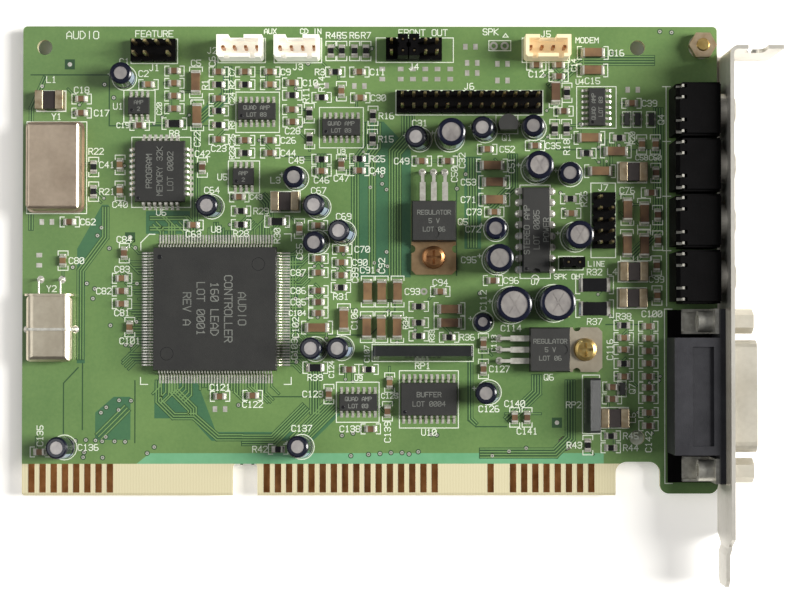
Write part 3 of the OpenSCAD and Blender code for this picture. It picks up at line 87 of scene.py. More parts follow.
def add_node(tree, kind, fixed=(), linked=(), **settings):
    """A shader node with its settings, then its fixed and its linked inputs as (socket, value) pairs."""
    node = tree.nodes.new("ShaderNode" + kind)
    for key, value in settings.items():
        setattr(node, key, value)
    for socket, value in fixed:
        node.inputs[socket].default_value = value
    for socket, source in linked:
        tree.links.new(source, node.inputs[socket])
    return node


def mixed(tree, factor, fixed, linked):
    """The result of a Mix node of two colours."""
    return add_node(tree, "Mix", fixed, [("Factor", factor)] + linked, data_type="RGBA").outputs[MIX_RESULT]


def new_group(name, inputs, outputs):
    """A shader node group with the named sockets; gives the group and its two end nodes."""
    group = bpy.data.node_groups.new(name, "ShaderNodeTree")
    for label, kind, value in inputs:
        socket = group.interface.new_socket(label, in_out="INPUT", socket_type=kind)
        socket.default_value = value
    for label, kind in outputs:
        group.interface.new_socket(label, in_out="OUTPUT", socket_type=kind)
    start = group.nodes.new("NodeGroupInput")
    end = group.nodes.new("NodeGroupOutput")
    return group, start, end


def make_mottle():
    """Two colours mixed by a broad cloud and a fine one, both in Object coordinates."""
    group, start, end = new_group(
        "Mottle",
        [("Colour", "NodeSocketColor", (0.5, 0.5, 0.5, 1)), ("Second", "NodeSocketColor", (0.4, 0.4, 0.4, 1)),
         ("Broad Scale", "NodeSocketFloat", 60.0), ("Fine Scale", "NodeSocketFloat", 900.0),
         ("Amount", "NodeSocketFloat", 1.0)],
        [("Colour", "NodeSocketColor")],
    )
    where = add_node(group, "TexCoord").outputs["Object"]
    broad, fine = (
        add_node(group, "TexNoise", [("Detail", detail)], [("Vector", where), ("Scale", start.outputs[scale])])
        for scale, detail in (("Broad Scale", 4.0), ("Fine Scale", 2.0)))
    both = add_node(group, "Math", [(1, 0.35)], [(0, fine.outputs["Fac"]), (2, broad.outputs["Fac"])],
                    operation="MULTIPLY_ADD")
    spread = add_node(group, "MapRange", [("From Min", 0.45), ("From Max", 0.9)], [("Value", both.outputs[0])])
    amount = add_node(group, "Math", [], [(0, spread.outputs[0]), (1, start.outputs["Amount"])], operation="MULTIPLY")
    mix = mixed(group, amount.outputs[0], [], [(MIX_A, start.outputs["Colour"]), (MIX_B, start.outputs["Second"])])
    group.links.new(mix, end.inputs["Colour"])
    return group


def make_grain():
    """A height of fine noise, stretched along one axis for brushed metal, and a roughness round a middle."""
    group, start, end = new_group(
        "Grain",
        [("Scale", "NodeSocketFloat", 2000.0), ("Stretch", "NodeSocketVector", (1, 1, 1)),
         ("Rough", "NodeSocketFloat", 0.5), ("Rough Swing", "NodeSocketFloat", 0.15)],
        [("Height", "NodeSocketFloat"), ("Roughness", "NodeSocketFloat")],
    )
    where = add_node(group, "TexCoord").outputs["Object"]
    pull = add_node(group, "VectorMath", [], [(0, where), (1, start.outputs["Stretch"])], operation="MULTIPLY")
    noise = add_node(group, "TexNoise", [("Detail", 3.0)],
                     [("Vector", pull.outputs[0]), ("Scale", start.outputs["Scale"])])
    smear = add_node(group, "TexNoise", [("Scale", 120.0)], [("Vector", pull.outputs[0])])
    centre = add_node(group, "Math", [(1, 0.5)], [(0, smear.outputs["Fac"])], operation="SUBTRACT")
    swing = add_node(group, "Math", [], [(0, centre.outputs[0]), (1, start.outputs["Rough Swing"]),
                                         (2, start.outputs["Rough"])], operation="MULTIPLY_ADD")
    group.links.new(noise.outputs["Fac"], end.inputs["Height"])
    group.links.new(swing.outputs[0], end.inputs["Roughness"])
    return group


def make_face_mask():
    """1 where a face looks up or down and 0 on an upright wall, from the normal's z."""
    group, start, end = new_group("Flat Face", [("Sharpness", "NodeSocketFloat", 0.7)], [("Mask", "NodeSocketFloat")])
    normal = add_node(group, "NewGeometry").outputs["True Normal"]
    split = add_node(group, "SeparateXYZ", [], [(0, normal)])
    size = add_node(group, "Math", [], [(0, split.outputs["Z"])], operation="ABSOLUTE")
    step = add_node(group, "Math", [], [(0, size.outputs[0]), (1, start.outputs["Sharpness"])],
                    operation="GREATER_THAN")
    group.links.new(step.outputs[0], end.inputs["Mask"])
    return group


MOTTLE = make_mottle()
GRAIN = make_grain()
FLAT_FACE = make_face_mask()

# Finishes


def finish(name, colour, second, metallic=0.0, rough=0.5, swing=0.15, bump=0.1, grain=2500.0, stretch=(1, 1, 1),
           broad=80.0, fine=900.0, amount=1.0, coat=0.0, coat_rough=0.1, specular=0.5, painted_glow=0.0):
    """A Principled material whose colour is the Mottle group's and whose roughness and bump are the Grain group's."""
    material = bpy.data.materials.new(name)
    material.use_nodes = True
    tree = material.node_tree
    shader = tree.nodes["Principled BSDF"]
    colour, second = srgb(*colour), srgb(*second)
    # Painted light: the glow is an emission that lifts the shade deep inside the pale connectors, standing in for the
    # light a thin pale plastic wall lets through
    for socket, value in (("Metallic", metallic), ("Coat Weight", coat), ("Coat Roughness", coat_rough),
                          ("Specular IOR Level", specular), ("Emission Color", colour), ("Emission Strength", painted_glow)):
        shader.inputs[socket].default_value = value
    tint = add_node(tree, "Group", [("Colour", colour), ("Second", second), ("Broad Scale", broad),
                                    ("Fine Scale", fine), ("Amount", amount)], node_tree=MOTTLE)
    texture = add_node(tree, "Group", [("Scale", grain), ("Stretch", stretch), ("Rough", rough),
                                       ("Rough Swing", swing)], node_tree=GRAIN)
    relief = add_node(tree, "Bump", [("Strength", bump), ("Distance", 0.0001)],
                      [("Height", texture.outputs["Height"])])
    for source, socket in ((tint.outputs["Colour"], "Base Color"), (texture.outputs["Roughness"], "Roughness"),
                           (relief.outputs["Normal"], "Normal")):
        tree.links.new(source, shader.inputs[socket])
    return material


def mask_over_laminate(material):
    """Keeps the board's green on its two faces down to the fingers, with bare laminate below them and on its edges."""
    tree = material.node_tree
    shader = tree.nodes["Principled BSDF"]
    green = shader.inputs["Base Color"].links[0].from_socket
    where = add_node(tree, "TexCoord").outputs["Object"]
    split = add_node(tree, "SeparateXYZ", [], [(0, where)])
    # The tab beside the bracket is green down to its edge
    above, rear = (
        add_node(tree, "Math", [(1, edge)], [(0, split.outputs[axis])], operation="GREATER_THAN")
        for axis, edge in (("Y", ORIGIN[1] + MASK_EDGE_Y * MM), ("X", ORIGIN[0] + REAR_TAB_X * MM)))
    face = add_node(tree, "Group", node_tree=FLAT_FACE)
    either = add_node(tree, "Math", [], [(0, above.outputs[0]), (1, rear.outputs[0])], operation="MAXIMUM")
    covered = add_node(tree, "Math", [], [(0, either.outputs[0]), (1, face.outputs["Mask"])], operation="MULTIPLY")
    # Laminate: cream resin with a glass weave in it
    weave = add_node(tree, "TexWave", [("Scale", 900.0), ("Distortion", 1.5)], [("Vector", where)])
    resin = mixed(tree, weave.outputs["Fac"], [(MIX_A, srgb(224, 216, 182)), (MIX_B, srgb(206, 196, 156))], [])
    both = mixed(tree, covered.outputs[0], [], [(MIX_A, resin), (MIX_B, green)])
    tree.links.new(both, shader.inputs["Base Color"])


SKINS = {
    "solder_mask": ((112, 142, 84), (92, 124, 72), dict(rough=0.38, swing=0.12, bump=0.06, grain=5000.0, broad=45.0,
        fine=1600.0, coat=0.25, coat_rough=0.15)),
    "mask_gap": ((58, 88, 52), (46, 76, 50), dict(rough=0.4, coat=0.2, fine=1500.0)),
    "mask_zone": ((72, 114, 78), (58, 100, 74), dict(rough=0.4, coat=0.2, fine=1500.0)),
    "mask_trace": ((122, 156, 96), (106, 140, 86), dict(rough=0.35, coat=0.25)),
    "mask_strip": ((118, 176, 134), (104, 164, 120), dict(rough=0.35, coat=0.25)),
    "print_white": ((240, 245, 232), (220, 230, 208), dict(rough=0.6, bump=0.2, grain=9000.0, fine=4000.0)),
    "gold_plate": ((178, 122, 76), (138, 88, 52), dict(metallic=1.0, rough=0.36, swing=0.25, bump=0.12, grain=900.0,
        stretch=(8, 1, 1), broad=300.0)),
    "pin_gold": ((222, 204, 162), (198, 172, 124), dict(metallic=1.0, rough=0.3, bump=0.08, grain=3000.0)),
    "plated_steel": ((222, 219, 211), (198, 194, 184), dict(metallic=0.65, rough=0.4, swing=0.22, bump=0.12,
        grain=700.0, stretch=(1, 0.12, 1), broad=60.0)),
    "yellow_zinc": ((198, 148, 100), (160, 112, 78), dict(metallic=1.0, rough=0.33, swing=0.2, bump=0.15,
        grain=1800.0, broad=500.0)),
    "golden_zinc": ((230, 204, 136), (192, 158, 92), dict(metallic=1.0, rough=0.33, swing=0.2, bump=0.15,
        grain=1800.0, broad=500.0)),
    "nut_zinc": ((222, 202, 170), (196, 168, 132), dict(metallic=0.9, rough=0.33, swing=0.2, bump=0.15, grain=1800.0,
        broad=500.0)),
    "tinned_metal": ((226, 224, 214), (196, 193, 182), dict(metallic=0.6, rough=0.34, swing=0.25, bump=0.15,
        grain=3500.0, broad=900.0)),
    "shell_tin": ((206, 201, 188), (184, 178, 164), dict(metallic=0.5, rough=0.42, swing=0.2, bump=0.12, grain=900.0,
        broad=90.0)),
    "solder": ((236, 234, 224), (206, 203, 192), dict(metallic=0.55, rough=0.26, swing=0.2, bump=0.12, grain=2500.0,
        broad=1200.0)),
    "tab_copper": ((188, 160, 124), (154, 126, 94), dict(metallic=1.0, rough=0.42, swing=0.2, bump=0.12, grain=1500.0,
        stretch=(1, 0.3, 1), broad=260.0)),
    "wound_end": ((186, 172, 146), (146, 128, 100), dict(metallic=0.8, rough=0.36, swing=0.2, bump=0.15, grain=2500.0,
        broad=500.0)),
    "can_aluminium": ((216, 210, 204), (184, 178, 176), dict(metallic=1.0, rough=0.4, swing=0.15, bump=0.1,
        grain=2600.0, broad=400.0)),
    "sleeve_film": ((22, 26, 44), (14, 17, 32), dict(rough=0.24, swing=0.1, bump=0.05, coat=0.4, coat_rough=0.08)),
    # Grey of the sleeves' printed stripe, which also stands for a painted reflection on them
    "stripe_and_reflection_grey": ((176, 190, 212), (150, 164, 190), dict(rough=0.3, coat=0.3)),
    "rubber_bung": ((30, 29, 28), (22, 21, 21), dict(rough=0.75, bump=0.3)),
    "drawn_can": ((208, 190, 168), (180, 162, 142), dict(metallic=1.0, rough=0.4, swing=0.22, bump=0.14, grain=800.0,
        stretch=(1, 0.2, 1), broad=120.0)),
    "crystal_metal": ((222, 212, 190), (196, 184, 162), dict(metallic=1.0, rough=0.38, swing=0.2, bump=0.12,
        grain=900.0, stretch=(0.3, 1, 1), broad=150.0)),
    "black_plastic": ((17, 16, 17), (11, 10, 11), dict(rough=0.55, swing=0.18, bump=0.3, grain=4200.0, broad=200.0,
        specular=0.08)),
    "port_plastic": ((58, 58, 62), (46, 46, 50), dict(rough=0.5, swing=0.15, bump=0.3, grain=4200.0, broad=160.0,
        specular=0.25)),
    "mould_compound": ((48, 48, 46), (40, 40, 39), dict(rough=0.55, swing=0.15, bump=0.35, grain=5200.0,
        broad=130.0)),
    "marking_grey": ((128, 130, 124), (104, 106, 101), dict(rough=0.6, bump=0.2)),
    # The ivory and cream plastics carry a painted glow: emitted light that lifts the shade inside the connectors
    "ivory_plastic": ((252, 250, 240), (246, 243, 230), dict(rough=0.4, bump=0.2, grain=3000.0, broad=200.0,
        painted_glow=0.3)),
    "cream_plastic": ((244, 226, 186), (236, 212, 166), dict(rough=0.42, bump=0.2, grain=3000.0, broad=200.0,
        painted_glow=0.25)),
    "resistor_coat": ((44, 46, 46), (34, 36, 36), dict(rough=0.3, swing=0.2, bump=0.2, coat=0.3, coat_rough=0.2)),
    "ferrite": ((52, 44, 42), (38, 32, 31), dict(rough=0.6, bump=0.4, grain=4000.0)),
    "ceramic_tan": ((142, 112, 78), (92, 68, 50), dict(rough=0.45, bump=0.2, broad=110.0, fine=300.0, amount=1.3)),
    "glass_black": ((34, 34, 36), (24, 24, 26), dict(rough=0.25, swing=0.1, coat=0.3)),
}
FINISH = {name: finish(name, colour, second, **rest) for name, (colour, second, rest) in SKINS.items()}
mask_over_laminate(FINISH["solder_mask"])

# Which finish each solid takes: its material slot's own, but for these
NODE_FINISH = {
    "regulator_tabs": "tab_copper",
    "crystal_can": "crystal_metal",
    "game_port_housing": "port_plastic",
    "header_pins": "pin_gold",
    "game_port_contacts": "pin_gold",
    "mounting_nuts": "nut_zinc",
    "inductor_terminals": "wound_end",
    "game_port_jackscrews": "shell_tin",
    "game_port_shell": "shell_tin",
}


def dress_solids():
    """Puts each solid's finish into its material slots."""
    for part in record["subparts"]:
        mesh = nodes[part["node"]].data
        skin = FINISH[NODE_FINISH.get(part["node"], part["material_slot"])]
        if mesh.materials:
            for place in range(len(mesh.materials)):
                mesh.materials[place] = skin
        else:
            mesh.materials.append(skin)


# Surfaces as arrays. Points are in the board's frame in mm; a batch is (points, faces).


def to_metres(points):
    """Metres of the shared frame from board mm: the origin plus a thousandth of the point."""
    return ORIGIN + np.asarray(points, float) * MM


def join(batches):
    """One batch from many, each one's faces moved on by the number of points before it."""
    points, faces, count = [], [], 0
    for batch_points, batch_faces in batches:
        points.append(batch_points)
        faces.extend([[i + count for i in face] for face in batch_faces])
        count += len(batch_points)
    return np.concatenate(points), faces


def add_piece(name, batches, skin, smooth=False):
    """One object made of the batches, in its finish, fixed to the card."""
    points, faces = join(batches)
    mesh = bpy.data.meshes.new(name)
    mesh.from_pydata(to_metres(points).tolist(), [], faces)
    mesh.materials.append(FINISH[skin])
    if smooth:
        mesh.polygons.foreach_set("use_smooth", np.ones(len(mesh.polygons), dtype=bool))
    piece = bpy.data.objects.new(name, mesh)
    bpy.context.scene.collection.objects.link(piece)
    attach(piece, "root")
    return piece


def prisms(outlines, low, high):
    """Upright prisms: each outline of k points stands once at height low and once at high, with k walls between."""
    outlines = np.asarray(outlines, float)
    n, k = outlines.shape[:2]
    low = np.broadcast_to(np.asarray(low, float).reshape(-1, 1, 1), (n, k, 1))
    high = np.broadcast_to(np.asarray(high, float).reshape(-1, 1, 1), (n, k, 1))
    points = np.concatenate([np.concatenate([outlines, low], 2), np.concatenate([outlines, high], 2)], 1)
    around = np.arange(k)
    walls = np.stack([around, (around + 1) % k, (around + 1) % k + k, around + k], 1)
    faces = []
    for start in range(0, n * 2 * k, 2 * k):
        faces.append(list(range(start + k - 1, start - 1, -1)))
        faces.append(list(range(start + k, start + 2 * k)))
        faces.extend((walls + start).tolist())
    return points.reshape(-1, 3), faces


def strips(segments, width):
    """Flat outlines along segments (x, y, x, y): each is widened by half the width to both sides and at both ends."""
    segments = np.asarray(segments, float).reshape(-1, 4)
    start, end = segments[:, :2], segments[:, 2:]
    along = end - start
    size = np.linalg.norm(along, axis=1, keepdims=True)
    along = np.where(size > 1e-6, along / np.maximum(size, 1e-6), [[1.0, 0.0]])
    along = along * np.asarray(width, float).reshape(-1, 1) / 2
    side = np.stack([-along[:, 1], along[:, 0]], 1)
    return np.stack([start - along - side, end + along - side, end + along + side, start - along + side], 1)


def layered(segments, width, low, high):
    """Prisms along segments, each of eleven a hair higher than the last, so that crossing ones share no plane."""
    outlines = strips(segments, width)
    step = (np.arange(len(outlines)) % 11) * LAYER_STEP
    if high > 0:
        return prisms(outlines, low, high + step)
    return prisms(outlines, low - step, high)


def discs(centres, radius, sides=12):
    """Round outlines: sides points at equal turns round each centre."""
    centres = np.asarray(centres, float).reshape(-1, 2)
    turn = np.arange(sides) * 2 * np.pi / sides
    ring = np.stack([np.cos(turn), np.sin(turn)], 1)
    return centres[:, None] + ring[None] * np.asarray(radius, float).reshape(-1, 1, 1)


def rects(low, high):
    """Four-cornered outlines from low and high corners (x, y)."""
    low, high = np.asarray(low, float).reshape(-1, 2), np.asarray(high, float).reshape(-1, 2)
    return np.stack([low, np.stack([high[:, 0], low[:, 1]], 1), high, np.stack([low[:, 0], high[:, 1]], 1)], 1)


def turned(centres, profile, sides=14):
    """A profile of (radius, height) steps swept round an upright axis at each centre, closed at both ends."""
    centres = np.asarray(centres, float).reshape(-1, 2)
    profile = np.asarray(profile, float)
    n, m = len(centres), len(profile)
    turn = np.arange(sides) * 2 * np.pi / sides
    ring = np.stack([np.cos(turn), np.sin(turn)], 1)
    flat = centres[:, None, None] + profile[None, :, 0, None, None] * ring[None, None]
    height = np.broadcast_to(profile[None, :, 1, None, None], (n, m, sides, 1))
    points = np.concatenate([flat, height], 3).reshape(-1, 3)
    around = np.arange(sides)
    after = (around + 1) % sides
    faces = []
    for start in range(0, n * m * sides, m * sides):
        faces.append((start + around[::-1]).tolist())
        faces.append((start + (m - 1) * sides + around).tolist())
        for step in range(m - 1):
            base = start + step * sides
            wall = [base + around, base + after, base + sides + after, base + sides + around]
            faces.extend(np.stack(wall, 1).tolist())
    return points, faces


def rings(centres, inner, outer, low, high, sides=20):
    """Flat rings: a four-cornered profile swept round each centre, its last ring joined to its first."""
    points, faces = turned(centres, [(inner, low), (outer, low), (outer, high), (inner, high)], sides)
    kept = [face for face in faces if len(face) == 4]
    around = np.arange(sides)
    after = (around + 1) % sides
    for start in range(0, len(points), 4 * sides):
        last = start + 3 * sides
        kept.extend(np.stack([last + around, last + after, start + after, start + around], 1).tolist())
    return points, kept


def wedges(corners):
    """Six-faced lumps from eight corners each, the four lower ones first and the four upper ones after."""
    corners = np.asarray(corners, float)
    walls = np.array([[3, 2, 1, 0], [4, 5, 6, 7], [0, 1, 5, 4], [1, 2, 6, 5], [2, 3, 7, 6], [3, 0, 4, 7]])
    starts = np.arange(len(corners))[:, None, None] * 8
    return corners.reshape(-1, 3), (walls[None] + starts).reshape(-1, 4).tolist()


# Where the frame's solids are


def triangles(node):
    """A node's triangles in board mm, as (n, 3, 3)."""
    mesh = nodes[node].data
    points = np.empty(len(mesh.vertices) * 3)
    mesh.vertices.foreach_get("co", points)
    corners = np.empty(len(mesh.loops), dtype=np.int64)
    mesh.loops.foreach_get("vertex_index", corners)
    return ((points.reshape(-1, 3) - ORIGIN) / MM)[corners].reshape(-1, 3, 3)


def labels_of(faces):
    """A number for each triangle, the same for all that join by shared corners."""
    corners, index = np.unique(np.round(faces.reshape(-1, 3), 3), axis=0, return_inverse=True)
    index = index.reshape(-1, 3)
    label = np.arange(len(corners))
    while True:
        low = label[index].min(axis=1)
        fresh = label.copy()
        np.minimum.at(fresh, index.ravel(), np.repeat(low, 3))
        fresh = fresh[fresh]
        if (fresh == label).all():
            break
        label = fresh
    return np.unique(label[index[:, 0]], return_inverse=True)[1]


def islands(node, under=None):
    """Low and high corners of each solid of a node; with under, only of what lies wholly under that height."""
    faces = triangles(node)
    if under is not None:
        faces = faces[(faces[:, :, 2] < under).all(axis=1)]
    if len(faces) == 0:
        return np.empty((0, 3)), np.empty((0, 3))
    label = labels_of(faces)
    low = np.full((label.max() + 1, 3), np.inf)
    high = -low
    np.minimum.at(low, label, faces.min(axis=1))
    np.maximum.at(high, label, faces.max(axis=1))
    return low, high


# Solder and pads

# Nodes that reach under the board without a soldered lead, and how far down a lead has to show
NO_LEADS = ("bracket", "board", "mounting_screws", "mounting_nuts", "contacts_back")
STUB_SHOWS = 1.0


def lead_ends():
    """Where leads come out under the board: (x, y, half width, half depth) of each end."""
    last = "oscillator_pins"
    order = [part["node"] for part in record["subparts"] if part["node"] not in (*NO_LEADS, last)] + [last]
    found = []
    for node in order:
        for low, high in zip(*islands(node, under=SOLDER_Z - STUB_SHOWS)):
            found.append((*(low + high)[:2] / 2, *(high - low)[:2] / 2))
    return np.array(found)


def through_joints():
    """Concave cones of solder round the lead ends on the solder side, and collars with low cones on the other."""
    ends = lead_ends()
    reach = np.maximum(ends[:, 2], ends[:, 3])
    batches, collars = [], []
    for size in np.unique(np.round(reach, 2)):
        at = ends[np.round(reach, 2) == size][:, :2]
        foot = max(0.85, size + 0.45)
        neck = size * 1.05
        steps = np.linspace(0, 1, 5)
        profile = [(foot, SOLDER_Z)]
        profile += [(neck + (foot - neck) * (1 - s) ** 2.2, SOLDER_Z - 0.06 - 1.05 * s) for s in steps]
        # The profile runs downwards, so it is turned round to keep its faces outwards
        batches.append(turned(at, profile[::-1]))
        collars.append(rings(at, size * 0.9, foot, 0.0, PAD_H))
        collars.append(turned(at, [(foot - 0.1, 0.0), (foot - 0.18, PAD_H + 0.05), (size, PAD_H + 0.22)]))
    add_piece("solder_joints", batches, "solder", smooth=True)
    add_piece("lead_collars", collars, "solder")
    return ends


def fillet(face, tip, side, top, low, top_share=1.0, tip_share=1.0):
    """Eight corners of a lump of solder that falls from a face to its tip, and narrows upwards by the two shares."""
    lump = [(*(face - side), 0.0), (*(tip - side), 0.0), (*(tip + side), 0.0), (*(face + side), 0.0),
            (*(face - side * top_share), top), (*(tip - side * tip_share), low),
            (*(tip + side * tip_share), low), (*(face + side * top_share), top)]
    if np.cross(tip - face, side) < 0:
        lump = [lump[i] for i in (3, 2, 1, 0, 7, 6, 5, 4)]
    return lump


def chip_lands():
    """A land under each end of every chip part, longer on its outer side, with a sloped solder fillet."""
    low, high = islands("chip_terminals")
    centre, half = (low + high) / 2, (high - low) / 2
    bodies = [islands("chip_capacitors"), islands("chip_resistors")]
    body_low = np.concatenate([b[0] for b in bodies])
    body_high = np.concatenate([b[1] for b in bodies])
    body = (body_low + body_high)[:, :2] / 2
    nearest = np.linalg.norm(centre[:, None, :2] - body[None], axis=2).argmin(axis=1)
    away = centre[:, :2] - body[nearest]
    lengthwise = np.abs(away[:, 0]) > np.abs(away[:, 1])
    out = np.where(lengthwise[:, None], np.sign(away) * [1, 0], np.sign(away) * [0, 1])
    wide = np.abs(out[:, ::-1])
    span = np.where(lengthwise, half[:, 1], half[:, 0])
    depth = np.where(lengthwise, half[:, 0], half[:, 1])
    face = centre[:, :2] + out * depth[:, None]
    inner = face - out * 0.55
    outer = face + out * 0.5
    side = wide * (span + 0.1)[:, None]
    lands = np.stack([inner - side, outer - side, outer + side, inner + side], 1)
    turn = (np.cross(outer - inner, side) < 0)
    lands[turn] = lands[turn][:, ::-1]
    add_piece("chip_lands", [prisms(lands, 0.0, PAD_H)], "solder")
    # Fillets: full height at the chip's face, falling to the land
    height = high[:, 2] * 0.62
    side = wide * (span * 0.92)[:, None]
    toe = face + out * 0.38
    lumps = [fillet(*row, PAD_H + 0.03, 0.96, 0.8) for row in zip(face, toe, side, height)]
    add_piece("chip_fillets", [wedges(lumps)], "solder")
    return body_low, body_high


def lead_lands(lead_node, body_node, toe, heel, margin):
    """Lands under the gull-wing or folded leads of the flat packages, each one laid along its own lead."""
    low, high = islands(lead_node)
    body_low, body_high = islands(body_node)
    body = (body_low + body_high)[:, :2] / 2
    body_half = (body_high - body_low)[:, :2] / 2
    centre, half = (low + high)[:, :2] / 2, (high - low)[:, :2] / 2
    outlines, fillets = [], []
    for at, size in zip(centre, half):
        gap = np.abs(at - body) - body_half
        owner = np.maximum(gap, 0).sum(axis=1).argmin()
        axis = int(gap[owner].argmax())
        out = np.zeros(2)
        out[axis] = np.sign(at[axis] - body[owner][axis])
        end = at + out * size[axis]
        side = np.abs(out[::-1]) * (size[1 - axis] + margin)
        near, far = end - out * heel, end + out * toe
        outlines.append(rects(np.minimum(near - side, far - side), np.maximum(near + side, far + side))[0])
        slim = side * 0.8
        tip = end + out * toe * 0.7
        fillets.append(fillet(end, tip, slim, 0.16, PAD_H + 0.01))
    return prisms(outlines, 0.0, PAD_H), wedges(fillets)


def flat_package_lands():
    """The lands of every flat package and of the wound parts, as one piece."""
    batches = []
    for leads, body, toe, heel, margin in (
            ("controller_leads", "controller_body", 1.2, 0.9, 0.04), ("memory_leads", "memory_body", 0.9, 1.6, 0.05),
            ("small_ic_leads", "small_ic_bodies", 0.45, 1.1, 0.12),
            ("logic_ic_leads", "logic_ic_bodies", 0.45, 1.1, 0.12),
            ("wide_ic_leads", "wide_ic_body", 0.45, 1.3, 0.12)):
        batches.extend(lead_lands(leads, body, toe, heel, margin))
    low, high = islands("inductor_terminals")
    batches.append(prisms(rects(low[:, :2] - 0.25, high[:, :2] + 0.25), 0.0, PAD_H))
    add_piece("package_lands", batches, "solder")


# Vias and places left empty, as the photograph shows them
VIAS = [
    (18.5, 93.4), (20.6, 90.4), (4.3, 93), (17.9, 60.8), (17, 59), (19.7, 56.1), (25.6, 56.2), (11.4, 51.8), (14.6,
    48.1), (16.4, 46.9), (16, 44.7), (20, 38.6), (23.5, 34.2), (24.7, 34.1), (25.9, 39.4), (26, 48.1), (64.8, 98.2),
    (80, 76.5), (81.6, 72.6), (79.9, 73), (81.7, 70.8), (79, 70), (82.7, 69.5), (82.7, 55.3), (79.9, 52.8), (80.8,
    51.1), (82.9, 52), (98.7, 69.7), (100.7, 73), (63.3, 53.8), (63.4, 50), (62, 44.7), (62.9, 43), (62.2, 38.4), (62,
    35.8), (62, 31.9), (62.2, 30.3), (103.9, 45.9), (12.1, 12.4), (14.5, 12.6), (16.7, 12.5), (18.2, 12.3), (19,
    13.3), (21, 12.3), (23.4, 12.2), (14.1, 9.8), (13.9, 8.7), (18.3, 8.6), (24.7, 21.5), (22, 21.6), (21.9, 19.4),
    (17.9, 18.8), (19.1, 20), (28.4, 9.6), (30, 11), (49.1, 20.5), (72.6, 13.6), (75.1, 14.1), (78.6, 9.3), (81.2,
    9.5), (83.7, 9.7), (86.2, 9.7), (87.8, 9.4), (89.9, 9.9), (74.6, 9), (92.8, 13.8), (94.1, 13.7), (106.7, 9),
    (110.5, 10), (114.4, 10.7), (145, 105.6), (147.7, 105.4),
]
EMPTY_ACROSS = [(5.5, 62.1), (67.9, 93.2), (76.5, 93.1), (101.8, 102.1), (102.2, 98.4), (102.2, 96.1), (109.1, 98.2),
                (109.1, 94.4), (138.8, 92.3), (44.9, 19.6)]
EMPTY_UPRIGHT = [(3.8, 53.4), (81.7, 95.85), (85.9, 95.85), (88.7, 95.85), (91.5, 95.85), (94.3, 95.85),
                 (97.2, 95.85)]
FIDUCIALS = [(10.6, 98), (24.4, 58.6), (121.4, 16.5)]
EMPTY_HOLES = [(107.1, 102.3), (109.6, 102.3)]


def board_lands():
    """Vias on both faces, lands of parts left out, and fiducial dots."""
    batches = []
    for low, high in ((0.0, PAD_H), (SOLDER_Z - PAD_H, SOLDER_Z)):
        batches.append(rings(VIAS, 0.14, 0.4, low, high, sides=12))
    for pairs, step in ((EMPTY_ACROSS, (1.15, 0)), (EMPTY_UPRIGHT, (0, 1.15))):
        pairs, step = np.array(pairs), np.array(step)
        centres = np.concatenate([pairs - step, pairs + step])
        half = np.array([0.5, 0.65]) if step[0] else np.array([0.65, 0.5])
        batches.append(prisms(rects(centres - half, centres + half), 0.0, PAD_H))
    batches.append(prisms(discs(FIDUCIALS, 0.5, 16), 0.0, PAD_H))
    batches.append(rings(EMPTY_HOLES, 0.5, 0.95, 0.0, PAD_H))
    batches.append(rings([(91.2, 46.3)], 0.35, 0.8, 0.0, PAD_H))
    add_piece("bare_lands", batches, "tinned_metal")
    dark = prisms(rects(np.array(FIDUCIALS) - 1.15, np.array(FIDUCIALS) + 1.15), 0.0, MASK_GAP_H)
    # Painted shade: dark discs over the vias' holes stand for the shade inside them
    painted_hole_shade = prisms(discs(VIAS, 0.15, 8), 0.0, PAD_H + 0.004)
    add_piece("mask_windows_and_hole_shade", [dark, painted_hole_shade], "mask_gap")


# Lettering drawn with strokes: each letter is a run of strokes on a grid four wide and six high

STROKES = {
    "A": "00 04 26 44 40,02 42", "B": "00 06 36 45 44 33 03,33 42 41 30 00", "C": "45 36 16 05 01 10 30 41",
    "D": "00 06 26 44 42 20 00", "E": "40 00 06 46,03 33", "F": "00 06 46,03 33", "G": "45 36 16 05 01 10 30 41 43 23",
    "H": "00 06,40 46,03 43", "I": "20 26", "J": "01 10 20 31 36", "K": "00 06,46 03 40", "L": "06 00 40",
    "M": "00 06 23 46 40", "N": "00 06 40 46", "O": "10 01 05 16 36 45 41 30 10", "P": "00 06 36 45 44 33 03",
    "Q": "10 01 05 16 36 45 41 30 10,22 40", "R": "00 06 36 45 44 33 03,23 40",
    "S": "01 10 30 41 42 33 13 04 05 16 36 45",
    "T": "20 26,06 46", "U": "06 01 10 30 41 46", "V": "06 20 46", "W": "06 10 23 30 46", "X": "00 46,06 40",
    "Y": "06 23 46,23 20", "Z": "06 46 00 40", "0": "10 01 05 16 36 45 41 30 10,01 45", "1": "15 26 20,10 30",
    "2": "05 16 36 45 44 00 40", "3": "05 16 36 45 44 33 42 41 30 10 01,13 33", "4": "30 36 02 42",
    "5": "46 06 03 33 42 41 30 10 01", "6": "36 16 05 01 10 30 41 42 33 03", "7": "06 46 10",
    "8": "13 04 05 16 36 45 44 33 13 02 01 10 30 41 42 33",
    "9": "43 13 04 05 16 36 45 41 30 10", " ": "", "-": "13 33",
    "+": "13 33,22 24",
}
LETTER_STEP = 5.4


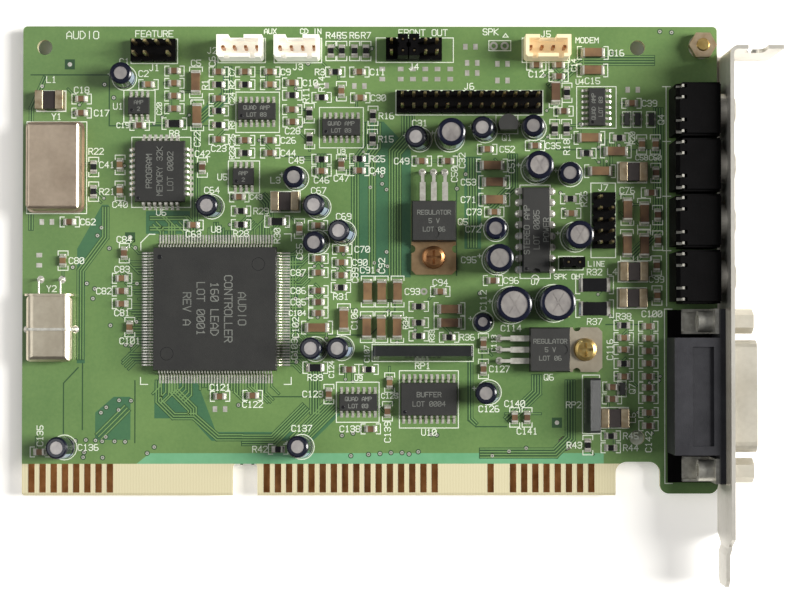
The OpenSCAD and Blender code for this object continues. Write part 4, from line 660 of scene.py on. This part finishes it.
def lettering(text, x, y, height, turn=0):
    """Segments of a word centred at (x, y): grid points scaled to the height, then turned by quarters."""
    scale = height / 6
    middle = np.array([(len(text) * LETTER_STEP - (LETTER_STEP - 4)) / 2, 3.0])
    segments = []
    for place, letter in enumerate(text):
        for stroke in STROKES[letter].split(","):
            dots = np.array([(int(p[0]) + place * LETTER_STEP, int(p[1])) for p in stroke.split()], float)
            if len(dots) > 1:
                dots = (dots - middle) * scale
                if turn:
                    dots = np.stack([-dots[:, 1], dots[:, 0]], 1) * turn
                dots = dots + (x, y)
                segments.extend(np.concatenate([dots[:-1], dots[1:]], 1).tolist())
    return segments


def outline(low, high):
    """Four segments round a rectangle."""
    (x0, y0), (x1, y1) = low, high
    return [(x0, y0, x1, y0), (x1, y0, x1, y1), (x1, y1, x0, y1), (x0, y1, x0, y0)]


def arc(x, y, radius, start=0.0, end=360.0, steps=24):
    """Segments along an arc between two angles in degrees."""
    turn = np.radians(np.linspace(start, end, steps + 1))
    dots = np.stack([x + radius * np.cos(turn), y + radius * np.sin(turn)], 1)
    return np.concatenate([dots[:-1], dots[1:]], 1).tolist()


# The white print: outlines round the parts, generic designators and plain words

# Word, x, y, height, quarter turn
WORDS = [
    ("AUX", 56.2, 105.6, 1.1, 0), ("CD IN", 65.4, 105.6, 1.1, 0), ("FRONT OUT", 91.0, 105.3, 1.4, 0),
    ("SPK", 106.4, 105.5, 1.4, 0), ("FEATURE", 29.8, 105.0, 1.4, 0), ("MODEM", 128.4, 103.6, 1.2, 0),
    ("SPK OUT", 124.2, 49.7, 1.1, 0), ("LINE", 130.4, 52.6, 1.1, 0), ("AUDIO", 13.5, 104.7, 1.7, 0),
]
PRINT_LINE = 0.2
LETTER_LINE = 0.19
# Squares of the print's sheet for each mm, and where the print begins above the fingers
CELLS = 4
PRINT_FROM_Y = 8.5
# Extra outlines from the photograph: low x, low y, high x, high y
EXTRA_BOXES = [
    (0.9, 64, 14.5, 84.9), (24.5, 98.2, 35.1, 103.8), (80.3, 98.5, 97.9, 104.1), (84.8, 86.5, 118.3, 92.1), (129.2,
    54, 134.8, 71), (121.8, 51.2, 127.4, 54.3), (106, 101.2, 111, 103.5), (79.4, 30.4, 102.4, 34.3), (127.2, 14,
    131.1, 27.3), (44.3, 98.4, 55.1, 104), (57.1, 98.4, 67.9, 104), (113.6, 98.5, 124.4, 104.1), (22.9, 84.8, 30,
    92.1), (46.7, 68.7, 53.8, 76), (48.4, 82.5, 58.3, 91.7), (67.4, 79, 77.4, 88.2), (71.3, 16.6, 81, 25.7), (126,
    83.5, 135, 93), (85.6, 15.3, 99, 28.3),
]
EXTRA_LINES = [
    (146.4, 92.9, 146.4, 43), (145.9, 42.3, 145.9, 2.7), (145.9, 42.3, 147.6, 42.3), (145.9, 2.7, 147.6, 2.7), (145.6,
    93, 147.4, 93), (145.6, 80.5, 147.4, 80.5), (145.6, 68, 147.4, 68), (145.6, 55.6, 147.4, 55.6), (109.2, 104.3,
    109.8, 105.1), (109.8, 105.1, 110.4, 104.3), (110.4, 104.3, 109.2, 104.3),
]


def package_outline(low, high):
    """A box just outside a package's body, with a notch arc in its end wall."""
    low, high = low - 0.28, high + 0.28
    x, y = (low[0] + high[0]) / 2, low[1] - 0.9
    return outline(low - (0, 0.9), high + (0, 0.4)) + arc(x, y, 0.8, 0, 180, 8)


def bracket_marks(centre, half, lengthwise):
    """Two square brackets round a chip part of that half size, open towards its middle."""
    drawn = []
    far, side = (half[0], half[1]) if lengthwise else (half[1], half[0])
    for sign in (-1, 1):
        dots = [(far - 0.95, -side), (far, -side), (far, side), (far - 0.95, side)]
        dots = [(sign * a, b) if lengthwise else (b, sign * a) for a, b in dots]
        dots = np.array(dots) + centre
        drawn += np.concatenate([dots[:-1], dots[1:]], 1).tolist()
    return drawn


class Sheet:
    """A sheet of quarter-millimetre squares that keeps which places of the board are taken."""

    def __init__(self):
        self.taken = np.zeros((int(BOARD_L * CELLS) + 8, int(BOARD_D * CELLS) + 8), dtype=bool)
        self.taken[:, :int(PRINT_FROM_Y * CELLS)] = True

    def window(self, low, high):
        a = np.clip(np.floor(np.asarray(low) * CELLS).astype(int), 0, None)
        b = np.ceil(np.asarray(high) * CELLS).astype(int)
        return slice(a[0], b[0]), slice(a[1], b[1])

    def cover(self, low, high):
        self.taken[self.window(low, high)] = True

    def clear(self, low, high):
        inside = low[0] > 0.6 and high[0] < BOARD_L - 12 and high[1] < BOARD_D - 0.5
        return inside and not self.taken[self.window(low, high)].any()


def print_layer(chip_low, chip_high):
    """Everything printed in white on the component side."""
    sheet = Sheet()
    lines, letters = list(EXTRA_LINES), []
    parts = []
    for x0, y0, x1, y1 in EXTRA_BOXES:
        lines += outline((x0, y0), (x1, y1))
    for part in record["subparts"]:
        node = part["node"]
        if node in ("board", "bracket") or node.startswith("contacts"):
            continue
        low, high = islands(node)
        reach = low[:, 2] < 3.0
        for a, b in zip(low[reach], high[reach]):
            sheet.cover(a[:2] - 0.15, b[:2] + 0.15)
    for text, x, y, height, turn in WORDS:
        wide = len(text) * LETTER_STEP * height / 12
        letters += lettering(text, x, y, height, turn)
        sheet.cover((x - wide, y - height / 2), (x + wide, y + height / 2))
    # Chip parts
    for low, high in zip(chip_low[:, :2], chip_high[:, :2]):
        centre = (low + high) / 2
        lengthwise = lies_along(centre)
        half = (high - low) / 2 + (np.array([1.55, 0.5]) if lengthwise else np.array([0.5, 1.55]))
        lines += bracket_marks(centre, half, lengthwise)
        parts.append((centre - half, centre + half, "C" if is_capacitor(centre) else "R"))
    # Packages
    for node, across, along in (("small_ic_bodies", 1.8, 1.1), ("logic_ic_bodies", 2.7, 0.7),
                                ("wide_ic_body", 2.9, 0.4), ("amplifier_body", 0.3, 1.2)):
        for low, high in zip(*islands(node)):
            if node == "amplifier_body":
                lines += package_outline(low[:2], high[:2])
            wide = high[0] - low[0] > high[1] - low[1]
            margin = np.array([along, across] if wide else [across, along])
            parts.append((low[:2] - margin, high[:2] + margin, "U"))
    low, high = footprint("controller_body")
    for x, y, sx, sy in ((high[0], high[1], 1, 1), (high[0], low[1], 1, -1), (low[0], low[1], -1, -1)):
        x, y = x + sx * 3.1, y + sy * 3.1
        lines += [(x, y, x - sx * 1.6, y), (x, y, x, y - sy * 1.6)]
    x, y = low[0] - 3.1, high[1] + 3.0
    lines += [(x, y - 3.6, x, y - 1.9), (x, y - 1.9, x + 1.9, y), (x + 1.9, y, x + 3.2, y)]
    parts.append((low - 3.2, high + 3.2, "U"))
    low, high = footprint("memory_body")
    lines += outline(low - 1.0, high + 1.0)
    parts.append((low - 1.2, high + 1.2, "U"))
    # Round parts
    for low, high in zip(*islands("capacitor_bungs")):
        centre = (low + high)[:2] / 2
        radius = (high - low)[0] / 2 + 0.45
        lines += arc(*centre, radius)
        lines += [(centre[0] - radius - 0.9, centre[1] + 0.9, centre[0] - radius - 0.1, centre[1] + 0.9),
                  (centre[0] - radius - 0.5, centre[1] + 0.5, centre[0] - radius - 0.5, centre[1] + 1.3)]
        parts.append((centre - radius, centre + radius, "C"))
    for node, letter in (("inductor_cores", "L"), ("transistor_bodies", "Q"), ("resistor_networks", "RP"),
                         ("regulator_cases", "Q"), ("crystal_can", "Y"), ("oscillator_base", "Y"),
                         ("header_bodies", "J"), ("cd_audio_connector", "J"), ("aux_connector", "J"),
                         ("modem_connector", "J")):
        for low, high in zip(*islands(node)):
            wide = 2.0 if node == "inductor_cores" else 0.3
            if node in ("inductor_cores", "transistor_bodies"):
                lines += outline(low[:2] - (wide, 0.35), high[:2] + (wide, 0.35))
            parts.append((low[:2] - wide, high[:2] + wide, letter))
    for segment in lines:
        a = np.minimum(segment[:2], segment[2:])
        b = np.maximum(segment[:2], segment[2:])
        sheet.cover(a, b + 0.01)
    # Designators, counted from the top left of the board and set where there is room
    count = {}
    parts.sort(key=lambda part: (-round(part[0][1] / 12), part[0][0]))
    for low, high, letter in parts:
        count[letter] = count.get(letter, 0) + 1
        place_designator(sheet, letters, letter + str(count[letter]), low, high)
    add_piece("print_outlines", [layered(lines, PRINT_LINE, 0.0, PRINT_H)], "print_white")
    add_piece("print_letters", [layered(letters, LETTER_LINE, 0.0, PRINT_H)], "print_white")


def place_designator(sheet, letters, text, low, high):
    """Sets a word beside a box: over, under, left or right of it, along or turned, where no square is taken."""
    middle = (low + high) / 2
    for height in (1.35, 1.1):
        wide = (len(text) * LETTER_STEP - 1.4) * height / 6
        for turn in (0, 1):
            half = np.array([wide, height] if turn == 0 else [height, wide]) / 2
            for gap in (0.25, 0.7, 1.3):
                spots = [(middle[0], high[1] + half[1] + gap), (middle[0], low[1] - half[1] - gap),
                         (high[0] + half[0] + gap, middle[1]), (low[0] - half[0] - gap, middle[1]),
                         (low[0] + half[0], high[1] + half[1] + gap), (high[0] - half[0], low[1] - half[1] - gap)]
                for spot in spots:
                    spot = np.array(spot)
                    if sheet.clear(spot - half - 0.08, spot + half + 0.08):
                        letters.extend(lettering(text, *spot, height, turn))
                        sheet.cover(spot - half, spot + half)
                        return


def footprint(node):
    """The low and high corners of a node's first solid, seen from above."""
    low, high = islands(node)
    return low[0][:2], high[0][:2]


def middles(node):
    """The middle of each solid of a node, seen from above."""
    low, high = islands(node)
    return ((low + high) / 2)[:, :2]


TERMINALS = middles("chip_terminals")
CAPACITORS = middles("chip_capacitors")


def lies_along(centre):
    """Whether the chip part at a place lies along x, from where its nearest end is."""
    nearest = TERMINALS[np.linalg.norm(TERMINALS - centre, axis=1).argmin()] - centre
    return abs(nearest[0]) > abs(nearest[1])


def is_capacitor(centre):
    """Whether the chip part at a place is a capacitor."""
    return np.linalg.norm(CAPACITORS - centre, axis=1).min() < 0.1


# Copper under the mask. A zone is a bare place without a pour, a gap is a line between two pours, and a bundle is
# a run of parallel traces: its path, how many traces, and their pitch.

ZONES = [
    [(12.4, 30), (14.2, 30), (14.2, 52), (19.5, 60.5), (19.5, 66), (18, 66), (12.4, 56)], [(28, 59.4), (38, 59.4),
    (38, 64.6), (28, 64.6)], [(38.6, 62), (40.2, 62), (40.2, 84), (47.6, 90.5), (47.6, 97.6), (45.4, 97.6), (45.4,
    92), (38.6, 86)], [(74.6, 49.5), (88.2, 49.5), (88.2, 78.4), (82, 85), (77.6, 85), (77.6, 79.6), (74.6, 76.4)],
    [(30, 17.5), (38.4, 17.5), (43, 12.4), (66, 12.4), (72.4, 18.6), (70.4, 18.6), (64.4, 14.4), (44, 14.4), (39.8,
    25.6), (30, 25.6)], [(16.6, 12.6), (24.6, 12.6), (24.6, 22.4), (20.8, 22.4), (16.6, 18.8)], [(60.2, 30), (62.6,
    30), (62.6, 54.4), (60.2, 54.4)], [(100.4, 56), (104.2, 56), (104.2, 77), (100.4, 77)],
]
BUNDLES = [
    ([(75.6, 50), (75.6, 76), (78.2, 79.4), (78.2, 84.6)], 3, 0.62), ([(79.4, 50.4), (79.4, 77.6), (80.6, 79.2),
    (80.6, 84.6)], 3, 0.62), ([(84.6, 50), (84.6, 78), (87.6, 81.4), (87.6, 86.4)], 5, 0.62), ([(31, 26), (31, 21.4),
    (34.4, 18), (39, 18), (44.4, 13.2), (50, 13.2)], 3, 0.6), ([(50, 12.6), (57, 12.6), (64.4, 20)], 5, 0.55), ([(62,
    12), (70.6, 20.6)], 7, 0.55), ([(34.4, 26), (34.4, 23.8), (38.6, 19.6), (38.6, 18.4)], 4, 0.6), ([(13.2, 31),
    (13.2, 51), (18.8, 58.6), (18.8, 65.4)], 3, 0.6), ([(39.4, 62.4), (39.4, 84.8), (46.6, 91.4), (46.6, 97.4)], 3,
    0.6), ([(29, 60.6), (37.4, 60.6)], 2, 0.6), ([(29, 63), (37.4, 63)], 2, 0.6), ([(61.4, 30.4), (61.4, 54)], 3,
    0.62), ([(102.2, 56.4), (102.2, 76.6)], 4, 0.62), ([(17.4, 13.4), (23.8, 19.8)], 3, 0.8), ([(103, 16.2), (101.8,
    17.4), (101.8, 31)], 2, 0.6), ([(110.2, 17), (116.8, 23.4), (116.8, 27.2)], 4, 0.62), ([(120, 92.8), (127, 99),
    (143.6, 99)], 4, 0.62), ([(104, 9.6), (121, 9.6), (124.4, 13), (124.4, 26)], 4, 0.62), ([(138.4, 54.2), (144.6,
    60.4), (144.6, 88)], 4, 0.6), ([(1.9, 60.4), (1.9, 88), (5, 95)], 2, 0.6), ([(66.4, 18.6), (66.4, 28.4)], 4,
    0.62), ([(55.8, 61), (55.8, 66.4), (54.4, 68)], 4, 0.6), ([(106.6, 65.4), (111.4, 70.2), (111.4, 77.4)], 4, 0.6),
    ([(68, 72), (68, 77.4)], 5, 0.7), ([(132.8, 73), (132.8, 80.6)], 4, 0.7),
]
GAPS = [
    [(9.4, 25.5), (9.4, 14)], [(9.4, 25.5), (12.7, 29)], [(13.7, 30), (13.7, 15)], [(101.2, 32), (101.2, 17), (103,
    15.6), (110, 15.6)], [(64, 36.4), (79, 36.4), (84.6, 42), (84.6, 49)], [(19.8, 84), (44, 84)], [(57, 77), (66,
    77)], [(98.6, 50), (98.6, 77.6)], [(104.4, 27), (104.4, 36)], [(121.4, 78.6), (143.4, 78.6)], [(132.6, 38.8),
    (143.6, 38.8)], [(25.6, 26), (25.6, 12)], [(49.4, 22.4), (66, 22.4)], [(1.8, 95.6), (19.6, 95.6), (19.6, 84)],
    [(121.4, 78.6), (121.4, 98)],
]
TRACE_W = 0.26
GAP_W = 0.28


def offset_path(path, shift):
    """A path moved sideways: a corner goes along its sides' mean normal by the shift over the half-turn's cosine."""
    path = np.asarray(path, float)
    along = np.diff(path, axis=0)
    along /= np.linalg.norm(along, axis=1, keepdims=True)
    normal = np.stack([-along[:, 1], along[:, 0]], 1)
    before, after = np.vstack([normal[:1], normal]), np.vstack([normal, normal[-1:]])
    middle = before + after
    middle /= np.linalg.norm(middle, axis=1, keepdims=True)
    return path + middle * shift / (middle * after).sum(axis=1, keepdims=True)


def path_segments(path):
    """Segments between one point of a path and the next."""
    path = np.asarray(path, float)
    return np.concatenate([path[:-1], path[1:]], 1).tolist()


def fan_out():
    """A short trace from about half of the chip ends, in one of eight directions, and a via at the end of most."""
    traces, vias = [], []
    for centre in TERMINALS:
        if rng.random() < 0.45:
            continue
        turn = rng.integers(0, 8) * math.pi / 4
        reach = rng.uniform(1.3, 3.4)
        end = centre + reach * np.array([math.cos(turn), math.sin(turn)])
        if PRINT_FROM_Y < end[1] < BOARD_D - 1.5 and 1.5 < end[0] < BOARD_L - 13:
            traces.append((*centre, *end))
            if rng.random() < 0.6:
                vias.append(end)
    return traces, np.array(vias)


def lead_fans():
    """Traces running straight out from the large package's leads, in groups whose ends step back by 45 degrees."""
    low, high = islands("controller_leads")
    body_low, body_high = footprint("controller_body")
    middle = (body_low + body_high) / 2
    traces = []
    for at, size in zip((low + high)[:, :2] / 2, (high - low)[:, :2] / 2):
        away = at - middle
        axis = int(np.abs(away).argmax())
        out = np.zeros(2)
        out[axis] = np.sign(away[axis])
        along = away[1 - axis]
        if rng.random() < 0.25:
            continue
        start = at + out * size[axis]
        reach = 1.6 + 2.6 * abs((along % 5.2) / 5.2 - 0.5) * 2
        end = start + out * reach
        traces.append((*start, *end))
        step = np.abs(out[::-1]) * np.sign(along) * 1.6 + out * 1.6
        if abs(along) > 4:
            traces.append((*end, *(end + step)))
    return traces


def copper_layer():
    """The zones, gaps and traces of the component side, with vias at the ends of the fans and the strip above the
    fingers.
    """
    for place, zone in enumerate(ZONES):
        add_piece("zone_" + str(place), [prisms([zone], 0.0, 0.004)], "mask_zone")
    dark, light = [], []
    for path in GAPS:
        dark.extend(path_segments(path))
    for path, count, pitch in BUNDLES:
        for place in range(count):
            light.extend(path_segments(offset_path(path, (place - (count - 1) / 2) * pitch)))
    fans, vias = fan_out()
    fans += lead_fans()
    pieces = [layered(dark, GAP_W, 0.0, MASK_GAP_H - 0.004), layered(light + fans, TRACE_W + 0.36, 0.0, MASK_GAP_H)]
    pieces.append(rings(VIAS, 0.4, 0.62, 0.0, MASK_GAP_H, sides=12))
    pieces.append(rings(vias, 0.3, 0.5, 0.0, MASK_GAP_H, sides=10))
    add_piece("copper_gaps", pieces, "mask_gap")
    add_piece("copper_traces", [layered(light + fans, TRACE_W, 0.0, TRACE_H)], "mask_trace")
    add_piece("fan_vias", [rings(vias, 0.1, 0.3, 0.0, PAD_H, sides=10)], "tinned_metal")
    strip = [(26.0, MASK_EDGE_Y), (132.0, MASK_EDGE_Y), (132.0, 9.6), (29.0, 9.6)]
    add_piece("finger_strip", [prisms([strip], 0.0, 0.006)], "mask_strip")


def solder_side(ends):
    """Traces on the solder side, from lead ends to near ones by upright and level runs, and up from the fingers."""
    runs = []
    places = ends[:, :2]
    for centre in places:
        distance = np.linalg.norm(places - centre, axis=1)
        near = np.argsort(distance)[rng.integers(3, 12)]
        if distance[near] < 30 and rng.random() < 0.8:
            corner = (centre[0], places[near][1])
            runs += [(*centre, *corner), (*corner, *places[near])]
    for x in np.arange(4.0, 130.0, 2.54):
        top = 12 + 10 * rng.random()
        runs.append((x, MASK_EDGE_Y, x, top))
    dark = layered(runs, TRACE_W + 0.4, SOLDER_Z - MASK_GAP_H, SOLDER_Z)
    add_piece("back_gaps", [dark], "mask_gap")
    light = layered(runs, TRACE_W, SOLDER_Z - TRACE_H, SOLDER_Z)
    add_piece("back_traces", [light], "mask_trace")
    lands = rings(places, 0.5, 1.0, SOLDER_Z - PAD_H, SOLDER_Z, sides=14)
    add_piece("back_lands", [lands], "tinned_metal")


# Marks on the packages

# Plain words for each package: lines, letter height, quarter turns, and which way the lines step
MARKS = {
    "controller_body": (("AUDIO", "CONTROLLER", "160 LEAD", "LOT 0001", "REV A"), 1.7, -1, 3.1),
    "memory_body": (("PROGRAM", "MEMORY 32K", "LOT 0002"), 1.25, 1, 2.4),
    "small_ic_bodies": (("AMP", "2"), 0.8, 0, 1.5),
    "logic_ic_bodies": (("QUAD AMP", "LOT 03"), 0.85, 0, 1.6),
    "wide_ic_body": (("BUFFER", "LOT 0004"), 1.05, 0, 2.1),
    "amplifier_body": (("STEREO AMP", "LOT 0005", "POWER"), 1.25, 1, 2.2),
    "regulator_cases": (("REGULATOR", "5 V", "LOT 06"), 0.95, 0, 1.9),
}
MARK_LINE = 0.15
# How far the dashes on a resistor network reach to each side of its middle
DASHES_REACH = 4.0


def package_marks():
    """The words, pin-1 dots and ejector rings on the tops of the packages, and the dashes on the walls of the resistor
    networks.
    """
    marks, dots = [], []
    for node, (rows, height, turn, step) in MARKS.items():
        for low, high in zip(*islands(node)):
            quarter = turn
            if node == "logic_ic_bodies" and high[1] - low[1] > high[0] - low[0]:
                quarter = 1
            middle = (low + high)[:2] / 2
            segments = []
            for place, row in enumerate(rows):
                down = ((len(rows) - 1) / 2 - place) * step
                at = middle + (np.array([0, down]) if quarter == 0 else np.array([-quarter * down, 0]))
                segments += lettering(row, *at, height, quarter)
            line = MARK_LINE * (1.5 if node == "controller_body" else 1.0)
            marks.append(layered(segments, line, high[2] - 0.01, high[2] + 0.01))
            if node == "controller_body":
                dots.append(turned([(low[0] + 1.6, high[1] - 2.3)], [(0.55, high[2] - 0.01), (0.5, high[2] + 0.01)],
                                   16))
                dots.append(rings([(33.2, 32.2), (53.8, 52.4)], 1.4, 1.5, high[2] - 0.01, high[2] + 0.006, 24))
            elif node != "regulator_cases":
                dots.append(turned([(low[0] + 0.9, low[1] + 0.9)], [(0.4, high[2] - 0.01), (0.36, high[2] + 0.01)]))
    for low, high in zip(*islands("resistor_networks")):
        marks.append(side_marks(low, high))
    add_piece("package_marks", marks, "marking_grey")
    add_piece("package_dots", dots, "glass_black")


def side_marks(low, high):
    """Upright dashes on the long wall of a resistor network, towards the fingers or the free end."""
    along_x = high[0] - low[0] > high[1] - low[1]
    middle = (low + high) / 2
    z0, z1 = low[2] + 2.0, low[2] + 3.2
    corners = []
    at = -DASHES_REACH
    while at < DASHES_REACH:
        wide = rng.uniform(0.5, 0.9)
        if along_x:
            x0, x1, y0, y1 = middle[0] + at, middle[0] + at + wide, low[1] - 0.012, low[1] + 0.02
        else:
            x0, x1, y0, y1 = low[0] - 0.012, low[0] + 0.02, middle[1] + at, middle[1] + at + wide
        corners.append([(x, y, z) for z in (z0, z1) for x, y in ((x0, y0), (x1, y0), (x1, y1), (x0, y1))])
        at += wide + 0.35
    return wedges(corners)


def sleeve_stripes():
    """Gives each capacitor sleeve a grey stripe down one side, by the way its outer triangles face: a printed stripe,
    which also paints a reflection on the glossy film.
    """
    mesh = nodes["capacitor_sleeves"].data
    mesh.materials.append(FINISH["stripe_and_reflection_grey"])
    stripe_and_reflection_slot = len(mesh.materials) - 1
    faces = triangles("capacitor_sleeves")
    label = labels_of(faces)
    normal = np.cross(faces[:, 1] - faces[:, 0], faces[:, 2] - faces[:, 0])
    normal /= np.maximum(np.linalg.norm(normal, axis=1, keepdims=True), 1e-9)
    middle = faces.mean(axis=1)
    slots = np.zeros(len(faces), dtype=np.int32)
    for place in range(label.max() + 1):
        own = label == place
        centre = (faces[own].min(axis=(0, 1)) + faces[own].max(axis=(0, 1))) / 2
        # Every stripe turns to the lower right, where it also paints the reflection on the sleeve
        turn = rng.uniform(-75.0, -15.0)
        way = np.array([math.cos(math.radians(turn)), math.sin(math.radians(turn)), 0.0])
        facing = normal[own] @ way > math.cos(math.radians(24))
        outer = ((middle[own] - centre) * normal[own]).sum(axis=1) > 0
        slots[np.flatnonzero(own)[facing & outer & (np.abs(normal[own][:, 2]) < 0.3)]] = stripe_and_reflection_slot
    mesh.polygons.foreach_set("material_index", slots)


# The regulator by the game port is paler than the other one, and its screw and the corner's are golden
SECOND_TONES = (("regulator_tabs", 105.0, "crystal_metal"), ("mounting_screws", 105.0, "golden_zinc"))


def second_tone(node, from_x, skin):
    """Gives the solids of a node whose middle lies past from_x another finish."""
    mesh = nodes[node].data
    mesh.materials.append(FINISH[skin])
    faces = triangles(node)
    label = labels_of(faces)
    slots = np.zeros(len(faces), dtype=np.int32)
    for place in range(label.max() + 1):
        own = label == place
        if faces[own][..., 0].mean() > from_x:
            slots[own] = len(mesh.materials) - 1
    mesh.polygons.foreach_set("material_index", slots)


# The game port's back: a low black block on the board under its outline, and the rear of its body

# Low and high corner, top, and finish
PORT_BLOCKS = {
    "port_low_black_block": ((146.5, 3.0), (157.7, 42.1), 0.7, "black_plastic"),
    "port_rear": ((146.4, 9.8), (150.2, 35.8), 12.07, "port_plastic"),
}


def port_back():
    """A low black block on the board under the port's outline, and the rear of its body, as blocks."""
    for name, (low, high, top, skin) in PORT_BLOCKS.items():
        add_piece(name, [prisms(rects([low], [high]), 0.0, top)], skin)


# Camera, light and floor

# The photograph's eye in board mm, the sky's strength, the floor's half width and drop in metres, the strength of
# its glow, and where that rises, in metres past the board's edge
EYE = (83.5, 36.4, 430.0)
SKY_FILL = 0.12
FLOOR_REACH = 3.0
FLOOR_DROP = 0.00002
# The floor's glow is painted light that lifts its shadows, with painted shade where it falls to none under and just
# round the card
FLOOR_PAINTED_GLOW = 0.45
GLOW_FROM, GLOW_TO = -0.003, 0.006


def aimed(where, target):
    """The matrix of a lamp or camera at one place in board mm that looks at another, with +Y up in its view."""
    where, target = to_metres(where), to_metres(target)
    back = where - target
    back /= np.linalg.norm(back)
    right = np.cross([0.0, 1.0, 0.0], back)
    right /= np.linalg.norm(right)
    matrix = np.eye(4)
    matrix[:3] = np.stack([right, np.cross(back, right), back, where], 1)
    return Matrix(matrix.tolist())


def place_camera():
    """The photograph's camera: above the board, a little left of and below its middle, with +Y up in the picture."""
    lens = bpy.data.cameras.new("camera")
    lens.sensor_fit = "HORIZONTAL"
    lens.angle = 2 * math.atan(IMAGE_W / 2 / PX_PER_MM / EYE[2])
    camera = bpy.data.objects.new("camera", lens)
    bpy.context.scene.collection.objects.link(camera)
    aim = ((IMAGE_W / 2 - BOARD_PX[0]) / PX_PER_MM, (BOARD_PX[1] - IMAGE_H / 2) / PX_PER_MM, 0.0)
    camera.matrix_world = aimed(EYE, aim)
    bpy.context.scene.camera = camera


def add_light(name, place, tall, wide, power, colour):
    """A lamp at a place in board mm, turned to the board's middle: wide along Y, and tall across that."""
    lamp = bpy.data.lights.new(name, "AREA")
    lamp.shape = "RECTANGLE"
    lamp.size = tall
    lamp.size_y = wide
    lamp.energy = power
    lamp.color = colour
    holder = bpy.data.objects.new(name, lamp)
    bpy.context.scene.collection.objects.link(holder)
    holder.matrix_world = aimed(place, [BOARD_L / 2, BOARD_D / 2, 0.0])


def lay_floor():
    """A pale floor just under the card, at the height on which it stands."""
    mesh = bpy.data.meshes.new("floor")
    signs = ((-1, -1), (1, -1), (1, 1), (-1, 1))
    mesh.from_pydata([(x * FLOOR_REACH, y * FLOOR_REACH, -FLOOR_DROP) for x, y in signs], [], [(0, 1, 2, 3)])
    material = bpy.data.materials.new("floor")
    material.use_nodes = True
    tree = material.node_tree
    shader = tree.nodes["Principled BSDF"]
    for socket, value in (("Base Color", (0.88, 0.87, 0.85, 1)), ("Roughness", 0.9),
                          ("Emission Color", (1.0, 0.97, 0.92, 1))):
        shader.inputs[socket].default_value = value
    # Painted light and painted shade: an emission for the glow of an overexposed sheet that lifts the floor's shadows,
    # none under the card above its fingers so the floor there stays in shade, and rising past the card's edge
    edge_y = ORIGIN[1] + (MASK_EDGE_Y + 3.0) * MM
    middle = ((board_low.x + board_high.x) / 2, (edge_y + board_high.y) / 2, 0)
    half = ((board_high.x - board_low.x) / 2, (board_high.y - edge_y) / 2, 0)
    where = add_node(tree, "TexCoord").outputs["Object"]
    apart = add_node(tree, "VectorMath", [(1, middle)], [(0, where)], operation="SUBTRACT")
    size = add_node(tree, "VectorMath", [], [(0, apart.outputs[0])], operation="ABSOLUTE")
    past = add_node(tree, "VectorMath", [(1, half)], [(0, size.outputs[0])], operation="SUBTRACT")
    split = add_node(tree, "SeparateXYZ", [], [(0, past.outputs[0])])
    farther = add_node(tree, "Math", [], [(0, split.outputs["X"]), (1, split.outputs["Y"])], operation="MAXIMUM")
    ramp = add_node(tree, "MapRange", [("From Min", GLOW_FROM), ("From Max", GLOW_TO), ("To Max", FLOOR_PAINTED_GLOW)],
                    [("Value", farther.outputs[0])])
    tree.links.new(ramp.outputs[0], shader.inputs["Emission Strength"])
    mesh.materials.append(material)
    floor = bpy.data.objects.new("floor", mesh)
    bpy.context.scene.collection.objects.link(floor)


def light_sky():
    """A dim sky for fill, which the camera itself sees as white."""
    world = bpy.data.worlds.new("sky")
    world.use_nodes = True
    bpy.context.scene.world = world
    tree = world.node_tree
    background = tree.nodes["Background"]
    path = add_node(tree, "LightPath")
    mix = add_node(tree, "Mix", [(2, SKY_FILL), (3, 1.0)], [("Factor", path.outputs["Is Camera Ray"])],
                   data_type="FLOAT")
    tree.links.new(mix.outputs[0], background.inputs["Strength"])
    background.inputs["Color"].default_value = (1, 1, 1, 1)


dress_solids()
sleeve_stripes()
LEAD_ENDS = through_joints()
CHIP_LOW, CHIP_HIGH = chip_lands()
flat_package_lands()
board_lands()
copper_layer()
solder_side(LEAD_ENDS)
print_layer(CHIP_LOW, CHIP_HIGH)
package_marks()
for tone in SECOND_TONES:
    second_tone(*tone)
port_back()

place_camera()
add_light("key", (1750.0, 210.0, 1130.0), 1.3, 0.66, 72.0, (1.0, 0.985, 0.95))
add_light("fill", (-420.0, 160.0, 640.0), 0.6, 0.6, 1.6, (0.98, 0.99, 1.0))
lay_floor()
light_sky()
bpy.context.scene.view_settings.view_transform = "Standard"
